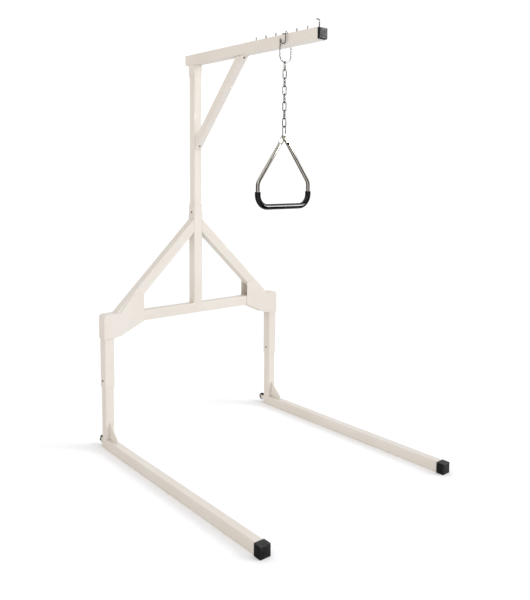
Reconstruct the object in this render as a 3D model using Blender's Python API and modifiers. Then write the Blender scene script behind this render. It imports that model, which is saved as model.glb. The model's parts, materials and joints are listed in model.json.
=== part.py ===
"""A freestanding trapeze: two floor legs, a lift-off head frame, a mast with an arm, and a hanging handle.

Metres, +Z up. The floor is z = 0, the legs point along -Y and the two floor posts stand at -X and +X.
"""
import math

import bmesh
import bpy
from mathutils import Matrix, Vector

# Clearances
GAP = 0.0003
HOLE_CLEARANCE = 0.0005

# Tube stock
BIG_TUBE = 0.0508
SMALL_TUBE = 0.04445
WALL = 0.0021
TUBE_CORNER = 0.0032
PLATE = 0.003

# Floor legs
POST_SPACING = 1.050
TOE_OUT = math.radians(0.86)
LEG_WIDTH = 0.0381
LEG_HEIGHT = 0.0508
LEG_REAR = 0.0254
LEG_REACH = 1.204
BOOT_WIDTH = 0.0495
BOOT_LENGTH = 0.0385
BOOT_PLUG = 0.030
BOOT_ROUND = 0.003
POST_ABOVE_BUTTON = 0.232
LEG_GUSSET_THICK = 0.005
LEG_GUSSET_REACH = 0.076
LEG_GUSSET_RISE = 0.087
LEG_GUSSET_NOSE = 0.018

# Tilting wheels
BEARING_CLEARANCE = 0.00008
WHEEL_RADIUS = 0.019
WHEEL_WIDTH = 0.018
WHEEL_BACK = 0.062
WHEEL_HEIGHT = 0.030
WHEEL_EDGE = 0.003
HUB_RADIUS = 0.010
HUB_RECESS = 0.0015
AXLE_RADIUS = 0.004
AXLE_HEAD_RADIUS = 0.007
AXLE_HEAD = 0.003
EAR_RADIUS = 0.010

# Head frame
CROSSBAR_HEIGHT = 0.6514
SLEEVE_LIP = 0.032
DIAGONAL_ANGLE = math.radians(44.34)
DIAGONAL_RISE = 0.5028
SOCKET_LIP = 0.0528

# Corner gusset outline, as distances inward from the post axis and heights above the crossbar's middle
GUSSET_TOP = 0.0288
GUSSET_LOW = -0.0924
GUSSET_TOE = (0.067, -0.0829)
GUSSET_INNER = 0.193
GUSSET_INNER_LOW = -0.0254
GUSSET_INNER_HIGH = 0.1056
GUSSET_PEAK = (0.136, 0.1185)
GUSSET_SHOULDER = 0.057
GUSSET_WEB_END = 0.036
GUSSET_ROUND = 0.018

# Mast and arm
MAST_INSERT = 0.247
ARM_HEIGHT = 1.9603
ARM_REAR = 0.0565
ARM_FRONT = 0.938
ARM_SOCKET_DEPTH = 0.0589
END_PLUG_HEAD = 0.012
END_PLUG_DEPTH = 0.030
END_PLUG_INSET = 0.0016
END_PLUG_ROUND = 0.0025

# Snap buttons
POST_BUTTON_HEIGHT = 0.348
MAST_BUTTON_INSET = 0.042
BUTTON_RADIUS = 0.0044
BUTTON_STAND = 0.004
LEAF_WIDTH = 0.0125
LEAF_THICK = 0.0012
LEAF_DROP = 0.052
LEAF_PAD = 0.009

# Brace under the arm
BRACE_TUBE = 0.0381
BRACE_ANGLE = math.radians(47.6)
BRACE_REACH = 0.3994
UPPER_BOLT_OFFSET = 0.015
LOWER_BOLT_OFFSET = 0.009
BOLT_RADIUS = 0.0025
BOLT_HEAD_RADIUS = 0.00425
BOLT_HEAD = 0.005
BOLT_REACH = 0.016
BOLT_ACCESS_RADIUS = 0.0048

# Stop pins and end hook on the arm
PIN_COUNT = 6
FIRST_PIN = 0.506
PIN_PITCH = 0.0696
PIN_RADIUS = 0.003
PIN_HEIGHT = 0.019
HOOK_PLACE = 0.9235
HOOK_RADIUS = 0.0026
HOOK_RISE = 0.036
HOOK_LEAN = (-0.010, 0.0095)
HOOK_BEND = 0.006

# Hanger bail
BAIL_PLACE = 0.707
BAIL_DROP = 0.0668
BAIL_RADIUS = 0.0024
BAIL_LEFT_PLAY = 0.0015
BAIL_RIGHT_PLAY = 0.0085
BAIL_BOW = 0.0285
BAIL_TOP_PLAY = 0.0005
BAIL_CORNER = 0.006
BAIL_LEFT_END = 0.018
CATCH_FORWARD = 0.042
CATCH_DROP = 0.0455
CATCH_RADIUS = 0.020
CATCH_TAIL = 0.004
CATCH_INSET = 0.010

# Chain
CHAIN_TURN = math.radians(-22)
LINK_COUNT = 8
LINK_PITCH = 0.0358
LINK_RADIUS = 0.00225
LINK_WIDTH = 0.020
LAST_LINK_OPENING = 0.0455
LAST_LINK_WIDTH = 0.024

# Handle
HANDLE_RADIUS = 0.009
HANDLE_WALL = 0.0016
HANDLE_HALF_WIDTH = 0.1515
HANDLE_BEND = 0.206
HANDLE_BAR = 0.3137
HANDLE_BEND_RADIUS = 0.045
HANDLE_CORNER_RADIUS = 0.055
HANDLE_HOLE_RADIUS = 0.0048
HANDLE_CROSSING = 0.004
TAB_HALF_WIDTH = 0.0125
TAB_SLIT = 0.0003
TAB_LENGTH = 0.030
TAB_TAPER = 0.016
TAB_BEYOND = 0.0075
GRIP_RADIUS = 0.013
GRIP_LENGTH_UP = 0.067
HANDLE_FACETS = 20

POST_X = POST_SPACING / 2
BIG_HALF = BIG_TUBE / 2
SMALL_HALF = SMALL_TUBE / 2
LEFT = -1
RIGHT = 1
SIDE_NAMES = {LEFT: "left", RIGHT: "right"}
AXIS_X = Vector((1, 0, 0))
AXIS_Y = Vector((0, 1, 0))
AXIS_Z = Vector((0, 0, 1))


def clear_scene():
    for item in list(bpy.data.objects):
        bpy.data.objects.remove(item, do_unlink=True)


def new_collection(name):
    group = bpy.data.collections.new(name)
    bpy.context.scene.collection.children.link(group)
    return group


clear_scene()
PARTS = new_collection("freestanding_trapeze")
CUTTERS = new_collection("cutting_shapes")
CUTTERS.hide_render = True


def new_material(name, colour, roughness, metallic):
    material = bpy.data.materials.new(name)
    material.use_nodes = True
    shader = material.node_tree.nodes["Principled BSDF"]
    shader.inputs["Base Color"].default_value = (*colour, 1.0)
    shader.inputs["Roughness"].default_value = roughness
    shader.inputs["Metallic"].default_value = metallic
    material.diffuse_color = (*colour, 1.0)
    return material


CREAM = new_material("cream_powder_coat", (0.74, 0.67, 0.56), 0.45, 0.0)
RUBBER = new_material("black_rubber", (0.018, 0.018, 0.019), 0.75, 0.0)
PLASTIC = new_material("charcoal_plastic", (0.035, 0.036, 0.042), 0.5, 0.0)
STEEL = new_material("zinc_steel", (0.55, 0.54, 0.52), 0.35, 1.0)
CHROME = new_material("chrome", (0.66, 0.66, 0.67), 0.12, 1.0)
VINYL = new_material("black_vinyl", (0.02, 0.02, 0.022), 0.3, 0.0)


def add_object(name, shape, material, group=None):
    mesh = bpy.data.meshes.new(name)
    bmesh.ops.remove_doubles(shape, verts=shape.verts, dist=1e-6)
    bmesh.ops.recalc_face_normals(shape, faces=shape.faces)
    shape.to_mesh(mesh)
    shape.free()
    mesh.materials.append(material)
    item = bpy.data.objects.new(name, mesh)
    (group or PARTS).objects.link(item)
    return item


def made_solid(source):
    """The mesh of a curve or of an object with modifiers, with its loose seams closed. The source is removed."""
    CUTTERS.objects.link(source)
    bpy.context.view_layer.update()
    graph = bpy.context.evaluated_depsgraph_get()
    mesh = bpy.data.meshes.new_from_object(source.evaluated_get(graph))
    bpy.data.objects.remove(source, do_unlink=True)
    shape = bmesh.new()
    shape.from_mesh(mesh)
    bmesh.ops.remove_doubles(shape, verts=shape.verts, dist=1e-6)
    return shape


def axes_matrix(axis_u, axis_v, origin):
    axis_u, axis_v = Vector(axis_u), Vector(axis_v)
    turn = Matrix((axis_u, axis_v, axis_u.cross(axis_v))).transposed()
    return Matrix.Translation(origin) @ turn.to_4x4()


def place(item, matrix):
    item.data.transform(matrix)


def set_origin(item, point):
    item.data.transform(Matrix.Translation(-Vector(point)))
    item.location = point


def hide_cutter(item):
    item.display_type = "WIRE"
    item.hide_render = True


def subtract(item, cutter):
    hide_cutter(cutter)
    step = item.modifiers.new("cut", "BOOLEAN")
    step.operation = "DIFFERENCE"
    step.solver = "EXACT"
    step.object = cutter


def join_shape(item, other):
    hide_cutter(other)
    step = item.modifiers.new("join", "BOOLEAN")
    step.operation = "UNION"
    step.solver = "EXACT"
    step.object = other


def bake(item):
    bpy.context.view_layer.update()
    graph = bpy.context.evaluated_depsgraph_get()
    finished = bpy.data.meshes.new_from_object(item.evaluated_get(graph))
    item.modifiers.clear()
    item.data = finished


def rounded_outline(width, height, radius, steps=4):
    points = []
    corners = ((1, 1, 0), (-1, 1, 90), (-1, -1, 180), (1, -1, 270))
    for sign_u, sign_v, start in corners:
        centre_u = sign_u * (width / 2 - radius)
        centre_v = sign_v * (height / 2 - radius)
        for step in range(steps + 1):
            angle = math.radians(start + 90 * step / steps)
            points.append((centre_u + radius * math.cos(angle), centre_v + radius * math.sin(angle)))
    return points


def flat_solid(outlines, half_thickness):
    """A flat shape with thickness. An outline inside another one is a hole."""
    curve = bpy.data.curves.new("outline", "CURVE")
    curve.dimensions = "2D"
    curve.fill_mode = "BOTH"
    curve.extrude = half_thickness
    for outline in outlines:
        spline = curve.splines.new("POLY")
        spline.points.add(len(outline) - 1)
        for spot, (u, v) in zip(spline.points, outline):
            spot.co = (u, v, 0, 1)
        spline.use_cyclic_u = True
    return made_solid(bpy.data.objects.new("outline", curve))


def box_tube(name, size_u, size_v, centre, axes, planes, material=CREAM):
    """A hollow square tube that runs along axes[0] from one cutting plane to the other."""
    along, axis_u, axis_v = (Vector(axis).normalized() for axis in axes)
    outer = rounded_outline(size_u, size_v, TUBE_CORNER)
    bore = rounded_outline(size_u - 2 * WALL, size_v - 2 * WALL, TUBE_CORNER - WALL)
    shape = flat_solid((outer, bore), BIG_TUBE)
    turn = axes_matrix(axis_u, axis_v, centre)
    along = turn.to_3x3().col[2]
    first, last = sorted(planes, key=lambda plane: (Vector(plane[0]) - Vector(centre)).dot(along))
    for vert in shape.verts:
        spot, normal = first if vert.co.z < 0 else last
        vert.co = turn @ vert.co
        normal = Vector(normal)
        vert.co += along * ((Vector(spot) - vert.co).dot(normal) / along.dot(normal))
    return add_object(name, shape, material)


def upright_tube(name, size, centre_x, bottom, top, material=CREAM):
    planes = (((0, 0, bottom), AXIS_Z), ((0, 0, top), AXIS_Z))
    return box_tube(name, size, size, (centre_x, 0, 0), (AXIS_Z, AXIS_X, AXIS_Y), planes, material)


def prism(name, outline, origin, axis_u, axis_v, low, high, material, group=None):
    """A flat outline given along two axes and pushed from low to high along their normal."""
    shape = flat_solid((outline,), (high - low) / 2)
    turn = axes_matrix(axis_u, axis_v, origin)
    bmesh.ops.transform(shape, matrix=turn @ Matrix.Translation((0, 0, (high + low) / 2)), verts=shape.verts)
    return add_object(name, shape, material, group)


def cube_shape(low, high):
    low, high = Vector(low), Vector(high)
    shape = bmesh.new()
    size = Matrix.Diagonal((*(high - low), 1))
    bmesh.ops.create_cube(shape, size=1, matrix=Matrix.Translation((low + high) / 2) @ size)
    return shape


def block(name, low, high, material, group=None):
    return add_object(name, cube_shape(low, high), material, group)


def soft_block(name, low, high, radius, material):
    """A block with every edge rounded."""
    shape = cube_shape(low, high)
    bmesh.ops.bevel(shape, geom=shape.edges[:], offset=radius, segments=3, profile=0.5, affect="EDGES")
    return add_object(name, shape, material)


def tube_stem(name, tube_width, tube_height, height, reach, material):
    """The stem of a plug that fills the end of a tube running along Y."""
    inset = 2 * (WALL + GAP)
    outline = rounded_outline(tube_height - inset, tube_width - inset, TUBE_CORNER - WALL + GAP)
    return prism(name, outline, (0, 0, height), AXIS_Z, AXIS_X, *reach, material, CUTTERS)


def axis_turn(axis, segments):
    """Turns +Z into the axis, with a flat of the round shape, not a corner, at its start."""
    turn = AXIS_Z.rotation_difference(Vector(axis)).to_matrix()
    return (turn @ Matrix.Rotation(math.pi / segments, 3, "Z")).to_4x4()


def turned(name, profile, origin, axis, material, segments=24, group=None):
    """A round solid from (distance along the axis, radius) pairs; it starts and ends on its own axis."""
    mesh = bpy.data.meshes.new(name)
    spots = [(radius, 0, distance) for distance, radius in reversed(profile)]
    mesh.from_pydata(spots, [(index, index + 1) for index in range(len(spots) - 1)], [])
    source = bpy.data.objects.new(name, mesh)
    step = source.modifiers.new("turn", "SCREW")
    step.steps = step.render_steps = segments
    step.use_merge_vertices = True
    step.merge_threshold = 1e-6
    shape = made_solid(source)
    turn = Matrix.Translation(origin) @ axis_turn(axis, segments)
    bmesh.ops.transform(shape, matrix=turn, verts=shape.verts)
    return add_object(name, shape, material, group)


def cylinder(name, radius, start, end, material, segments=24, group=None):
    start, end = Vector(start), Vector(end)
    turn = Matrix.Translation((start + end) / 2) @ axis_turn(end - start, segments)
    shape = bmesh.new()
    bmesh.ops.create_cone(shape, cap_ends=True, segments=segments, radius1=radius, radius2=radius,
                          depth=(end - start).length, matrix=turn)
    return add_object(name, shape, material, group)


def drill(item, radius, start, end, segments=24):
    subtract(item, cylinder("drill", radius, start, end, STEEL, segments, CUTTERS))


def rounded_path(points, radii, closed, steps=5):
    """Points of a path whose corners are replaced by arcs of the given radii."""
    points = [Vector(point) for point in points]
    count = len(points)
    path = []
    for index, point in enumerate(points):
        at_end = not closed and index in (0, count - 1)
        if at_end or radii[index] == 0:
            path.append(point)
            continue
        back = (points[index - 1] - point).normalized()
        ahead = (points[(index + 1) % count] - point).normalized()
        half = back.angle(ahead) / 2
        bisector = (back + ahead).normalized()
        centre = point + bisector * (radii[index] / math.sin(half))
        start = point + back * (radii[index] / math.tan(half)) - centre
        finish = point + ahead * (radii[index] / math.tan(half)) - centre
        sweep = start.angle(finish)
        for step in range(steps + 1):
            share = step / steps
            low = math.sin((1 - share) * sweep) / math.sin(sweep)
            high = math.sin(share * sweep) / math.sin(sweep)
            path.append(centre + start * low + finish * high)
    return path


def wire(name, path, radius, material, closed=False, roundness=2, group=None):
    """A round bar swept along a path of points."""
    curve = bpy.data.curves.new(name, "CURVE")
    curve.dimensions = "3D"
    curve.twist_mode = "MINIMUM"
    spline = curve.splines.new("POLY")
    spline.points.add(len(path) - 1)
    for spot, point in zip(spline.points, path):
        spot.co = (*point, 1)
    spline.use_cyclic_u = closed
    curve.bevel_depth = radius
    curve.bevel_resolution = roundness
    curve.use_fill_caps = not closed
    shape = made_solid(bpy.data.objects.new(name, curve))
    return add_object(name, shape, material, group)


# Floor legs. Each side is laid out round its own post axis, then turned by the toe-out and moved in place.

LEG_TOP = LEG_HEIGHT
POST_TOP = POST_BUTTON_HEIGHT + POST_ABOVE_BUTTON


def side_matrix(side):
    return Matrix.Translation((side * POST_X, 0, 0)) @ Matrix.Rotation(side * TOE_OUT, 4, "Z")


def build_leg(side):
    planes = (((0, LEG_REAR, 0), AXIS_Y), ((0, -LEG_REACH, 0), AXIS_Y))
    axes = (AXIS_Y, AXIS_X, AXIS_Z)
    return box_tube(SIDE_NAMES[side] + "_leg", LEG_WIDTH, LEG_HEIGHT, (0, 0, LEG_HEIGHT / 2), axes, planes)


def build_boot(side):
    """A square rubber foot pressed into the front end of the leg tube."""
    back = -LEG_REACH - GAP
    front = back - BOOT_LENGTH
    half = BOOT_WIDTH / 2
    name = SIDE_NAMES[side] + "_leg_boot"
    boot = soft_block(name, (-half, front, 0), (half, back, LEG_HEIGHT), BOOT_ROUND, RUBBER)
    reach = (back - BOOT_LENGTH / 2, back + BOOT_PLUG)
    join_shape(boot, tube_stem("boot_plug", LEG_WIDTH, LEG_HEIGHT, LEG_HEIGHT / 2, reach, RUBBER))
    bake(boot)
    return boot


def build_post(side):
    return upright_tube(SIDE_NAMES[side] + "_post", SMALL_TUBE, 0, LEG_TOP + GAP, POST_TOP)


def build_leg_gusset(side):
    """The triangular plate between the front of the post and the top of the leg."""
    face = SMALL_HALF + GAP
    floor = LEG_TOP + GAP
    toe = face + LEG_GUSSET_REACH
    outline = ((face, floor), (toe, floor), (toe, floor + LEG_GUSSET_NOSE),
               (face, floor + LEG_GUSSET_RISE))
    half = LEG_GUSSET_THICK / 2
    return prism(SIDE_NAMES[side] + "_leg_gusset", outline, (0, 0, 0), -AXIS_Y, AXIS_Z, -half, half, CREAM)


def build_wheel_bracket(side):
    """A plate on the rear end of the leg with two ears that carry the wheel."""
    name = SIDE_NAMES[side] + "_wheel_bracket"
    back = LEG_REAR + GAP
    half = LEG_WIDTH / 2
    bracket = block(name, (-half, back, GAP), (half, back + PLATE, LEG_HEIGHT - GAP), CREAM)
    ear_inner = WHEEL_WIDTH / 2 + HOLE_CLEARANCE
    ear_outer = ear_inner + PLATE
    outline = [(back + PLATE / 2, WHEEL_HEIGHT - EAR_RADIUS), (back + PLATE / 2, WHEEL_HEIGHT + EAR_RADIUS)]
    for step in range(9):
        angle = math.radians(90 - 180 * step / 8)
        along = WHEEL_BACK + EAR_RADIUS * math.cos(angle)
        outline.append((along, WHEEL_HEIGHT + EAR_RADIUS * math.sin(angle)))
    for sign in (LEFT, RIGHT):
        low, high = sorted((sign * ear_inner, sign * ear_outer))
        ear = prism("wheel_ear", outline, (0, 0, 0), AXIS_Y, AXIS_Z, low, high, CREAM, CUTTERS)
        join_shape(bracket, ear)
    reach = ear_outer + PLATE
    drill(bracket, AXLE_RADIUS + GAP, (-reach, WHEEL_BACK, WHEEL_HEIGHT), (reach, WHEEL_BACK, WHEEL_HEIGHT))
    bake(bracket)
    return bracket


def build_axle(side):
    """A rivet through both ears, with a head at each end."""
    head = WHEEL_WIDTH / 2 + HOLE_CLEARANCE + PLATE + GAP
    outer = head + AXLE_HEAD
    dome = AXLE_HEAD_RADIUS * 0.7
    brim = head + AXLE_HEAD / 2
    profile = ((-outer, 0), (-outer, dome), (-brim, AXLE_HEAD_RADIUS), (-head, AXLE_HEAD_RADIUS),
               (-head, AXLE_RADIUS), (head, AXLE_RADIUS), (head, AXLE_HEAD_RADIUS),
               (brim, AXLE_HEAD_RADIUS), (outer, dome), (outer, 0))
    origin = (0, WHEEL_BACK, WHEEL_HEIGHT)
    return turned(SIDE_NAMES[side] + "_wheel_axle", profile, origin, AXIS_X, STEEL)


def build_wheel(side):
    half = WHEEL_WIDTH / 2
    inner = half - HUB_RECESS
    bore = AXLE_RADIUS + BEARING_CLEARANCE
    rim = WHEEL_RADIUS - WHEEL_EDGE
    side_face = half - HUB_RECESS / 2
    tread = half - WHEEL_EDGE
    groove = HUB_RADIUS + WHEEL_EDGE
    hub = HUB_RADIUS - WHEEL_EDGE
    profile = ((-half, 0), (-half, hub), (-inner, HUB_RADIUS), (-inner, groove), (-side_face, rim),
               (-tread, WHEEL_RADIUS), (tread, WHEEL_RADIUS), (side_face, rim), (inner, groove),
               (inner, HUB_RADIUS), (half, hub), (half, 0))
    origin = (0, WHEEL_BACK, WHEEL_HEIGHT)
    wheel = turned(SIDE_NAMES[side] + "_wheel", profile, origin, AXIS_X, RUBBER, 32)
    across = AXIS_X * WHEEL_WIDTH
    drill(wheel, bore, Vector(origin) - across, Vector(origin) + across, 32)
    bake(wheel)
    return wheel


def build_leaf(name, facing, height):
    """Half of a folded spring clip, with the snap button at its upper end, facing along +X or -X.

    Below its pad the strip keeps to its own side of the fold, so that both halves can go in together."""
    face = SMALL_HALF - WALL - GAP
    back = face - LEAF_THICK
    knee = LEAF_THICK + GAP
    low = height - LEAF_DROP
    outline = [(facing * u, v) for u, v in ((face, height - LEAF_PAD), (face, height + LEAF_PAD),
                                            (back, height + LEAF_PAD), (back, height - LEAF_PAD),
                                            (GAP, low), (knee, low))]
    half = LEAF_WIDTH / 2
    leaf = prism(name, outline, (0, 0, 0), AXIS_X, AXIS_Z, -half, half, STEEL)
    near, far = sorted((facing * GAP, -facing * LEAF_WIDTH))
    corner = (-SMALL_TUBE, near, low - LEAF_THICK)
    opposite = (SMALL_TUBE, far, height - LEAF_PAD - LEAF_THICK)
    subtract(leaf, block("leaf_relief", corner, opposite, STEEL, CUTTERS))
    tip = BIG_HALF + BUTTON_STAND
    root = face - LEAF_THICK / 2
    length = tip - root
    profile = ((0, 0), (0, BUTTON_RADIUS), (length - BUTTON_STAND / 2, BUTTON_RADIUS),
               (length - BUTTON_STAND / 6, BUTTON_RADIUS * 0.75), (length, BUTTON_RADIUS * 0.3), (length, 0))
    button = turned("button", profile, (facing * root, 0, height), AXIS_X * facing, STEEL, 20, CUTTERS)
    join_shape(leaf, button)
    bake(leaf)
    return leaf


def bore_for_buttons(item, axis_x, height):
    reach = BIG_TUBE
    drill(item, BUTTON_RADIUS + HOLE_CLEARANCE, (axis_x - reach, 0, height), (axis_x + reach, 0, height))


for side in (LEFT, RIGHT):
    matrix = side_matrix(side)
    post = build_post(side)
    bore_for_buttons(post, 0, POST_BUTTON_HEIGHT)
    bake(post)
    leaves = {}
    for where, facing in (("outer", side), ("inner", -side)):
        leaf_name = SIDE_NAMES[side] + "_post_button_" + where
        leaves[where] = build_leaf(leaf_name, facing, POST_BUTTON_HEIGHT)
    wheel = build_wheel(side)
    for item in (build_leg(side), build_boot(side), post, build_leg_gusset(side), build_wheel_bracket(side),
                 build_axle(side), wheel, *leaves.values()):
        place(item, matrix)
    set_origin(wheel, matrix @ Vector((0, WHEEL_BACK, WHEEL_HEIGHT)))
    for leaf in leaves.values():
        set_origin(leaf, matrix @ Vector((0, 0, POST_BUTTON_HEIGHT)))


# Head frame, one welded piece when in use

SLEEVE_BOTTOM = POST_BUTTON_HEIGHT - SLEEVE_LIP
SLEEVE_TOP = CROSSBAR_HEIGHT + GUSSET_TOP - GUSSET_ROUND - GAP
CROSSBAR_TOP = CROSSBAR_HEIGHT + BIG_HALF
DIAGONAL_TOP_AT_CENTRE = CROSSBAR_HEIGHT + DIAGONAL_RISE
SOCKET_TOP = DIAGONAL_TOP_AT_CENTRE + SOCKET_LIP
MAST_BUTTON_HEIGHT = SOCKET_TOP - MAST_BUTTON_INSET
MAST_BOTTOM = SOCKET_TOP - MAST_INSERT


def build_crossbar():
    end = POST_X - BIG_HALF - GAP
    planes = (((-end, 0, 0), AXIS_X), ((end, 0, 0), AXIS_X))
    axes = (AXIS_X, AXIS_Y, AXIS_Z)
    return box_tube("crossbar", BIG_TUBE, BIG_TUBE, (0, 0, CROSSBAR_HEIGHT), axes, planes)


def build_diagonal(side):
    along = Vector((side * math.cos(DIAGONAL_ANGLE), 0, -math.sin(DIAGONAL_ANGLE)))
    square = Vector((side * math.sin(DIAGONAL_ANGLE), 0, math.cos(DIAGONAL_ANGLE)))
    centre = Vector((0, 0, DIAGONAL_TOP_AT_CENTRE)) - square * BIG_HALF
    planes = (((side * (BIG_HALF + GAP), 0, 0), AXIS_X), ((0, 0, CROSSBAR_TOP + GAP), AXIS_Z))
    name = SIDE_NAMES[side] + "_diagonal"
    return box_tube(name, BIG_TUBE, BIG_TUBE, centre, (along, square, AXIS_Y), planes)


def build_corner_gusset(side):
    """A folded plate over the top of the sleeve and the foot of the diagonal, open towards the middle."""
    outside = POST_X + BIG_HALF + GAP + PLATE
    inside = outside - PLATE
    half = BIG_HALF + GAP
    turns = [math.radians(90 * step / 4) for step in range(5)]
    arc = [(1 - math.cos(turn), math.sin(turn)) for turn in turns]
    outline = [(outside, GUSSET_LOW)]
    outline += [(outside - GUSSET_ROUND * u, GUSSET_TOP - GUSSET_ROUND * (1 - v)) for u, v in arc]
    outline += [(POST_X - GUSSET_SHOULDER, GUSSET_TOP), (POST_X - GUSSET_PEAK[0], GUSSET_PEAK[1]),
                (POST_X - GUSSET_INNER, GUSSET_INNER_HIGH), (POST_X - GUSSET_INNER, GUSSET_INNER_LOW),
                (POST_X - GUSSET_TOE[0], GUSSET_TOE[1]), (POST_X - BIG_HALF, GUSSET_LOW)]
    bend = GUSSET_ROUND - PLATE
    web_end = POST_X - GUSSET_WEB_END
    clear = POST_X - GUSSET_INNER - BIG_TUBE
    hollow = [(inside, GUSSET_LOW - BIG_TUBE)]
    hollow += [(inside - bend * u, GUSSET_TOP - PLATE - bend * (1 - v)) for u, v in arc]
    hollow += [(web_end, GUSSET_TOP - PLATE), (web_end, GUSSET_PEAK[1] + BIG_TUBE),
               (clear, GUSSET_PEAK[1] + BIG_TUBE), (clear, GUSSET_LOW - BIG_TUBE)]
    axis = AXIS_X * side
    name = SIDE_NAMES[side] + "_corner_gusset"
    middle = (0, 0, CROSSBAR_HEIGHT)
    gusset = prism(name, outline, middle, axis, AXIS_Z, -half - PLATE, half + PLATE, CREAM)
    inner = prism("gusset_hollow", hollow, middle, axis, AXIS_Z, -half, half, CREAM, CUTTERS)
    subtract(gusset, inner)
    bake(gusset)
    return gusset


for side in (LEFT, RIGHT):
    sleeve = upright_tube(SIDE_NAMES[side] + "_sleeve", BIG_TUBE, side * POST_X, SLEEVE_BOTTOM, SLEEVE_TOP)
    bore_for_buttons(sleeve, side * POST_X, POST_BUTTON_HEIGHT)
    bake(sleeve)
    build_diagonal(side)
    build_corner_gusset(side)

build_crossbar()
centre_post = upright_tube("centre_post", BIG_TUBE, 0, CROSSBAR_TOP + GAP, SOCKET_TOP)
bore_for_buttons(centre_post, 0, MAST_BUTTON_HEIGHT)
bake(centre_post)


# Mast, arm and brace

ARM_UNDERSIDE = ARM_HEIGHT - BIG_HALF
ARM_TOP = ARM_HEIGHT + BIG_HALF

mast = upright_tube("mast", SMALL_TUBE, 0, MAST_BOTTOM, ARM_UNDERSIDE - GAP)
bore_for_buttons(mast, 0, MAST_BUTTON_HEIGHT)
upright_tube("arm_socket", BIG_TUBE, 0, ARM_UNDERSIDE - ARM_SOCKET_DEPTH, ARM_UNDERSIDE - GAP)
for where, facing in (("left", LEFT), ("right", RIGHT)):
    mast_leaf = build_leaf("mast_button_" + where, facing, MAST_BUTTON_HEIGHT)
    set_origin(mast_leaf, (0, 0, MAST_BUTTON_HEIGHT))

arm_planes = (((0, ARM_REAR - PLATE - GAP, 0), AXIS_Y), ((0, -ARM_FRONT, 0), AXIS_Y))
arm = box_tube("arm", BIG_TUBE, BIG_TUBE, (0, 0, ARM_HEIGHT), (AXIS_Y, AXIS_X, AXIS_Z), arm_planes)


def build_end_plug():
    back = -ARM_FRONT - GAP
    half = BIG_HALF - END_PLUG_INSET
    low = (-half, back - END_PLUG_HEAD, ARM_HEIGHT - half)
    high = (half, back, ARM_HEIGHT + half)
    plug = soft_block("arm_end_plug", low, high, END_PLUG_ROUND, PLASTIC)
    reach = (back - END_PLUG_HEAD / 2, back + END_PLUG_DEPTH)
    join_shape(plug, tube_stem("plug_stem", BIG_TUBE, BIG_TUBE, ARM_HEIGHT, reach, PLASTIC))
    bake(plug)
    return plug


def build_rear_cap():
    """The plate welded over the rear end of the arm."""
    outline = rounded_outline(BIG_TUBE, BIG_TUBE, TUBE_CORNER)
    middle = (0, 0, ARM_HEIGHT)
    return prism("arm_rear_cap", outline, middle, AXIS_Z, AXIS_X, ARM_REAR - PLATE, ARM_REAR, CREAM)


build_rear_cap()
build_end_plug()

BRACE_DIRECTION = Vector((0, -math.cos(BRACE_ANGLE), math.sin(BRACE_ANGLE)))
BRACE_SQUARE = Vector((0, math.sin(BRACE_ANGLE), math.cos(BRACE_ANGLE)))
BRACE_UPPER_END = Vector((0, -BRACE_REACH, ARM_UNDERSIDE))
BRACE_RUN = (BRACE_REACH - SMALL_HALF) / math.cos(BRACE_ANGLE)
BRACE_LOWER_END = BRACE_UPPER_END - BRACE_DIRECTION * BRACE_RUN


PLATE_SEAT = PLATE + 2 * GAP


def build_brace():
    """A tube whose ends are cut along the arm's underside and the mast's front."""
    planes = ((BRACE_LOWER_END - AXIS_Y * PLATE_SEAT, AXIS_Y),
              (BRACE_UPPER_END - AXIS_Z * PLATE_SEAT, AXIS_Z))
    axes = (BRACE_DIRECTION, AXIS_X, BRACE_SQUARE)
    return box_tube("brace", BRACE_TUBE, BRACE_TUBE, BRACE_LOWER_END, axes, planes)


def build_brace_end(name, foot, facing, to_brace, bolt_offset):
    """The plate across one end of the brace, and the bolt through it into the member it rests on.

    facing is the direction out of the member and the direction along it, away from the corner.
    The bolt's head lies inside the brace, behind an access hole in the brace's lower wall."""
    outward, away = facing
    rise = to_brace.dot(outward)
    reach = BRACE_TUBE / 2 / rise
    shift = PLATE * to_brace.dot(away) / rise
    outline = ((-reach, 0), (reach, 0), (reach + shift, PLATE), (shift - reach, PLATE))
    half = BRACE_TUBE / 2
    plate = prism(name + "_plate", outline, foot + outward * GAP, away, outward, -half, half, CREAM)
    bolt = foot + away * bolt_offset
    drill(plate, BOLT_RADIUS + GAP, bolt - outward * PLATE, bolt + outward * PLATE * 3)
    bake(plate)
    drill(brace, BOLT_ACCESS_RADIUS, bolt + outward * PLATE, bolt + outward * BIG_TUBE)
    seat = PLATE_SEAT
    profile = ((-BOLT_REACH, 0), (-BOLT_REACH, BOLT_RADIUS), (seat, BOLT_RADIUS), (seat, BOLT_HEAD_RADIUS),
               (seat + BOLT_HEAD * 0.9, BOLT_HEAD_RADIUS), (seat + BOLT_HEAD, BOLT_HEAD_RADIUS * 0.9),
               (seat + BOLT_HEAD, 0))
    turned(name + "_bolt", profile, bolt, outward, STEEL)
    return bolt


brace = build_brace()
arm_bolt = build_brace_end("upper_brace", BRACE_UPPER_END, (-AXIS_Z, -AXIS_Y), -BRACE_DIRECTION,
                           UPPER_BOLT_OFFSET)
mast_bolt = build_brace_end("lower_brace", BRACE_LOWER_END, (-AXIS_Y, -AXIS_Z), BRACE_DIRECTION,
                            LOWER_BOLT_OFFSET)
bake(brace)
drill(arm, BOLT_RADIUS + GAP, arm_bolt - AXIS_Z * PLATE, arm_bolt + AXIS_Z * BOLT_REACH)
bake(arm)
drill(mast, BOLT_RADIUS + GAP, mast_bolt - AXIS_Y * PLATE, mast_bolt + AXIS_Y * BOLT_REACH)
bake(mast)


# Stop pins and end hook on top of the arm

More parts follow.
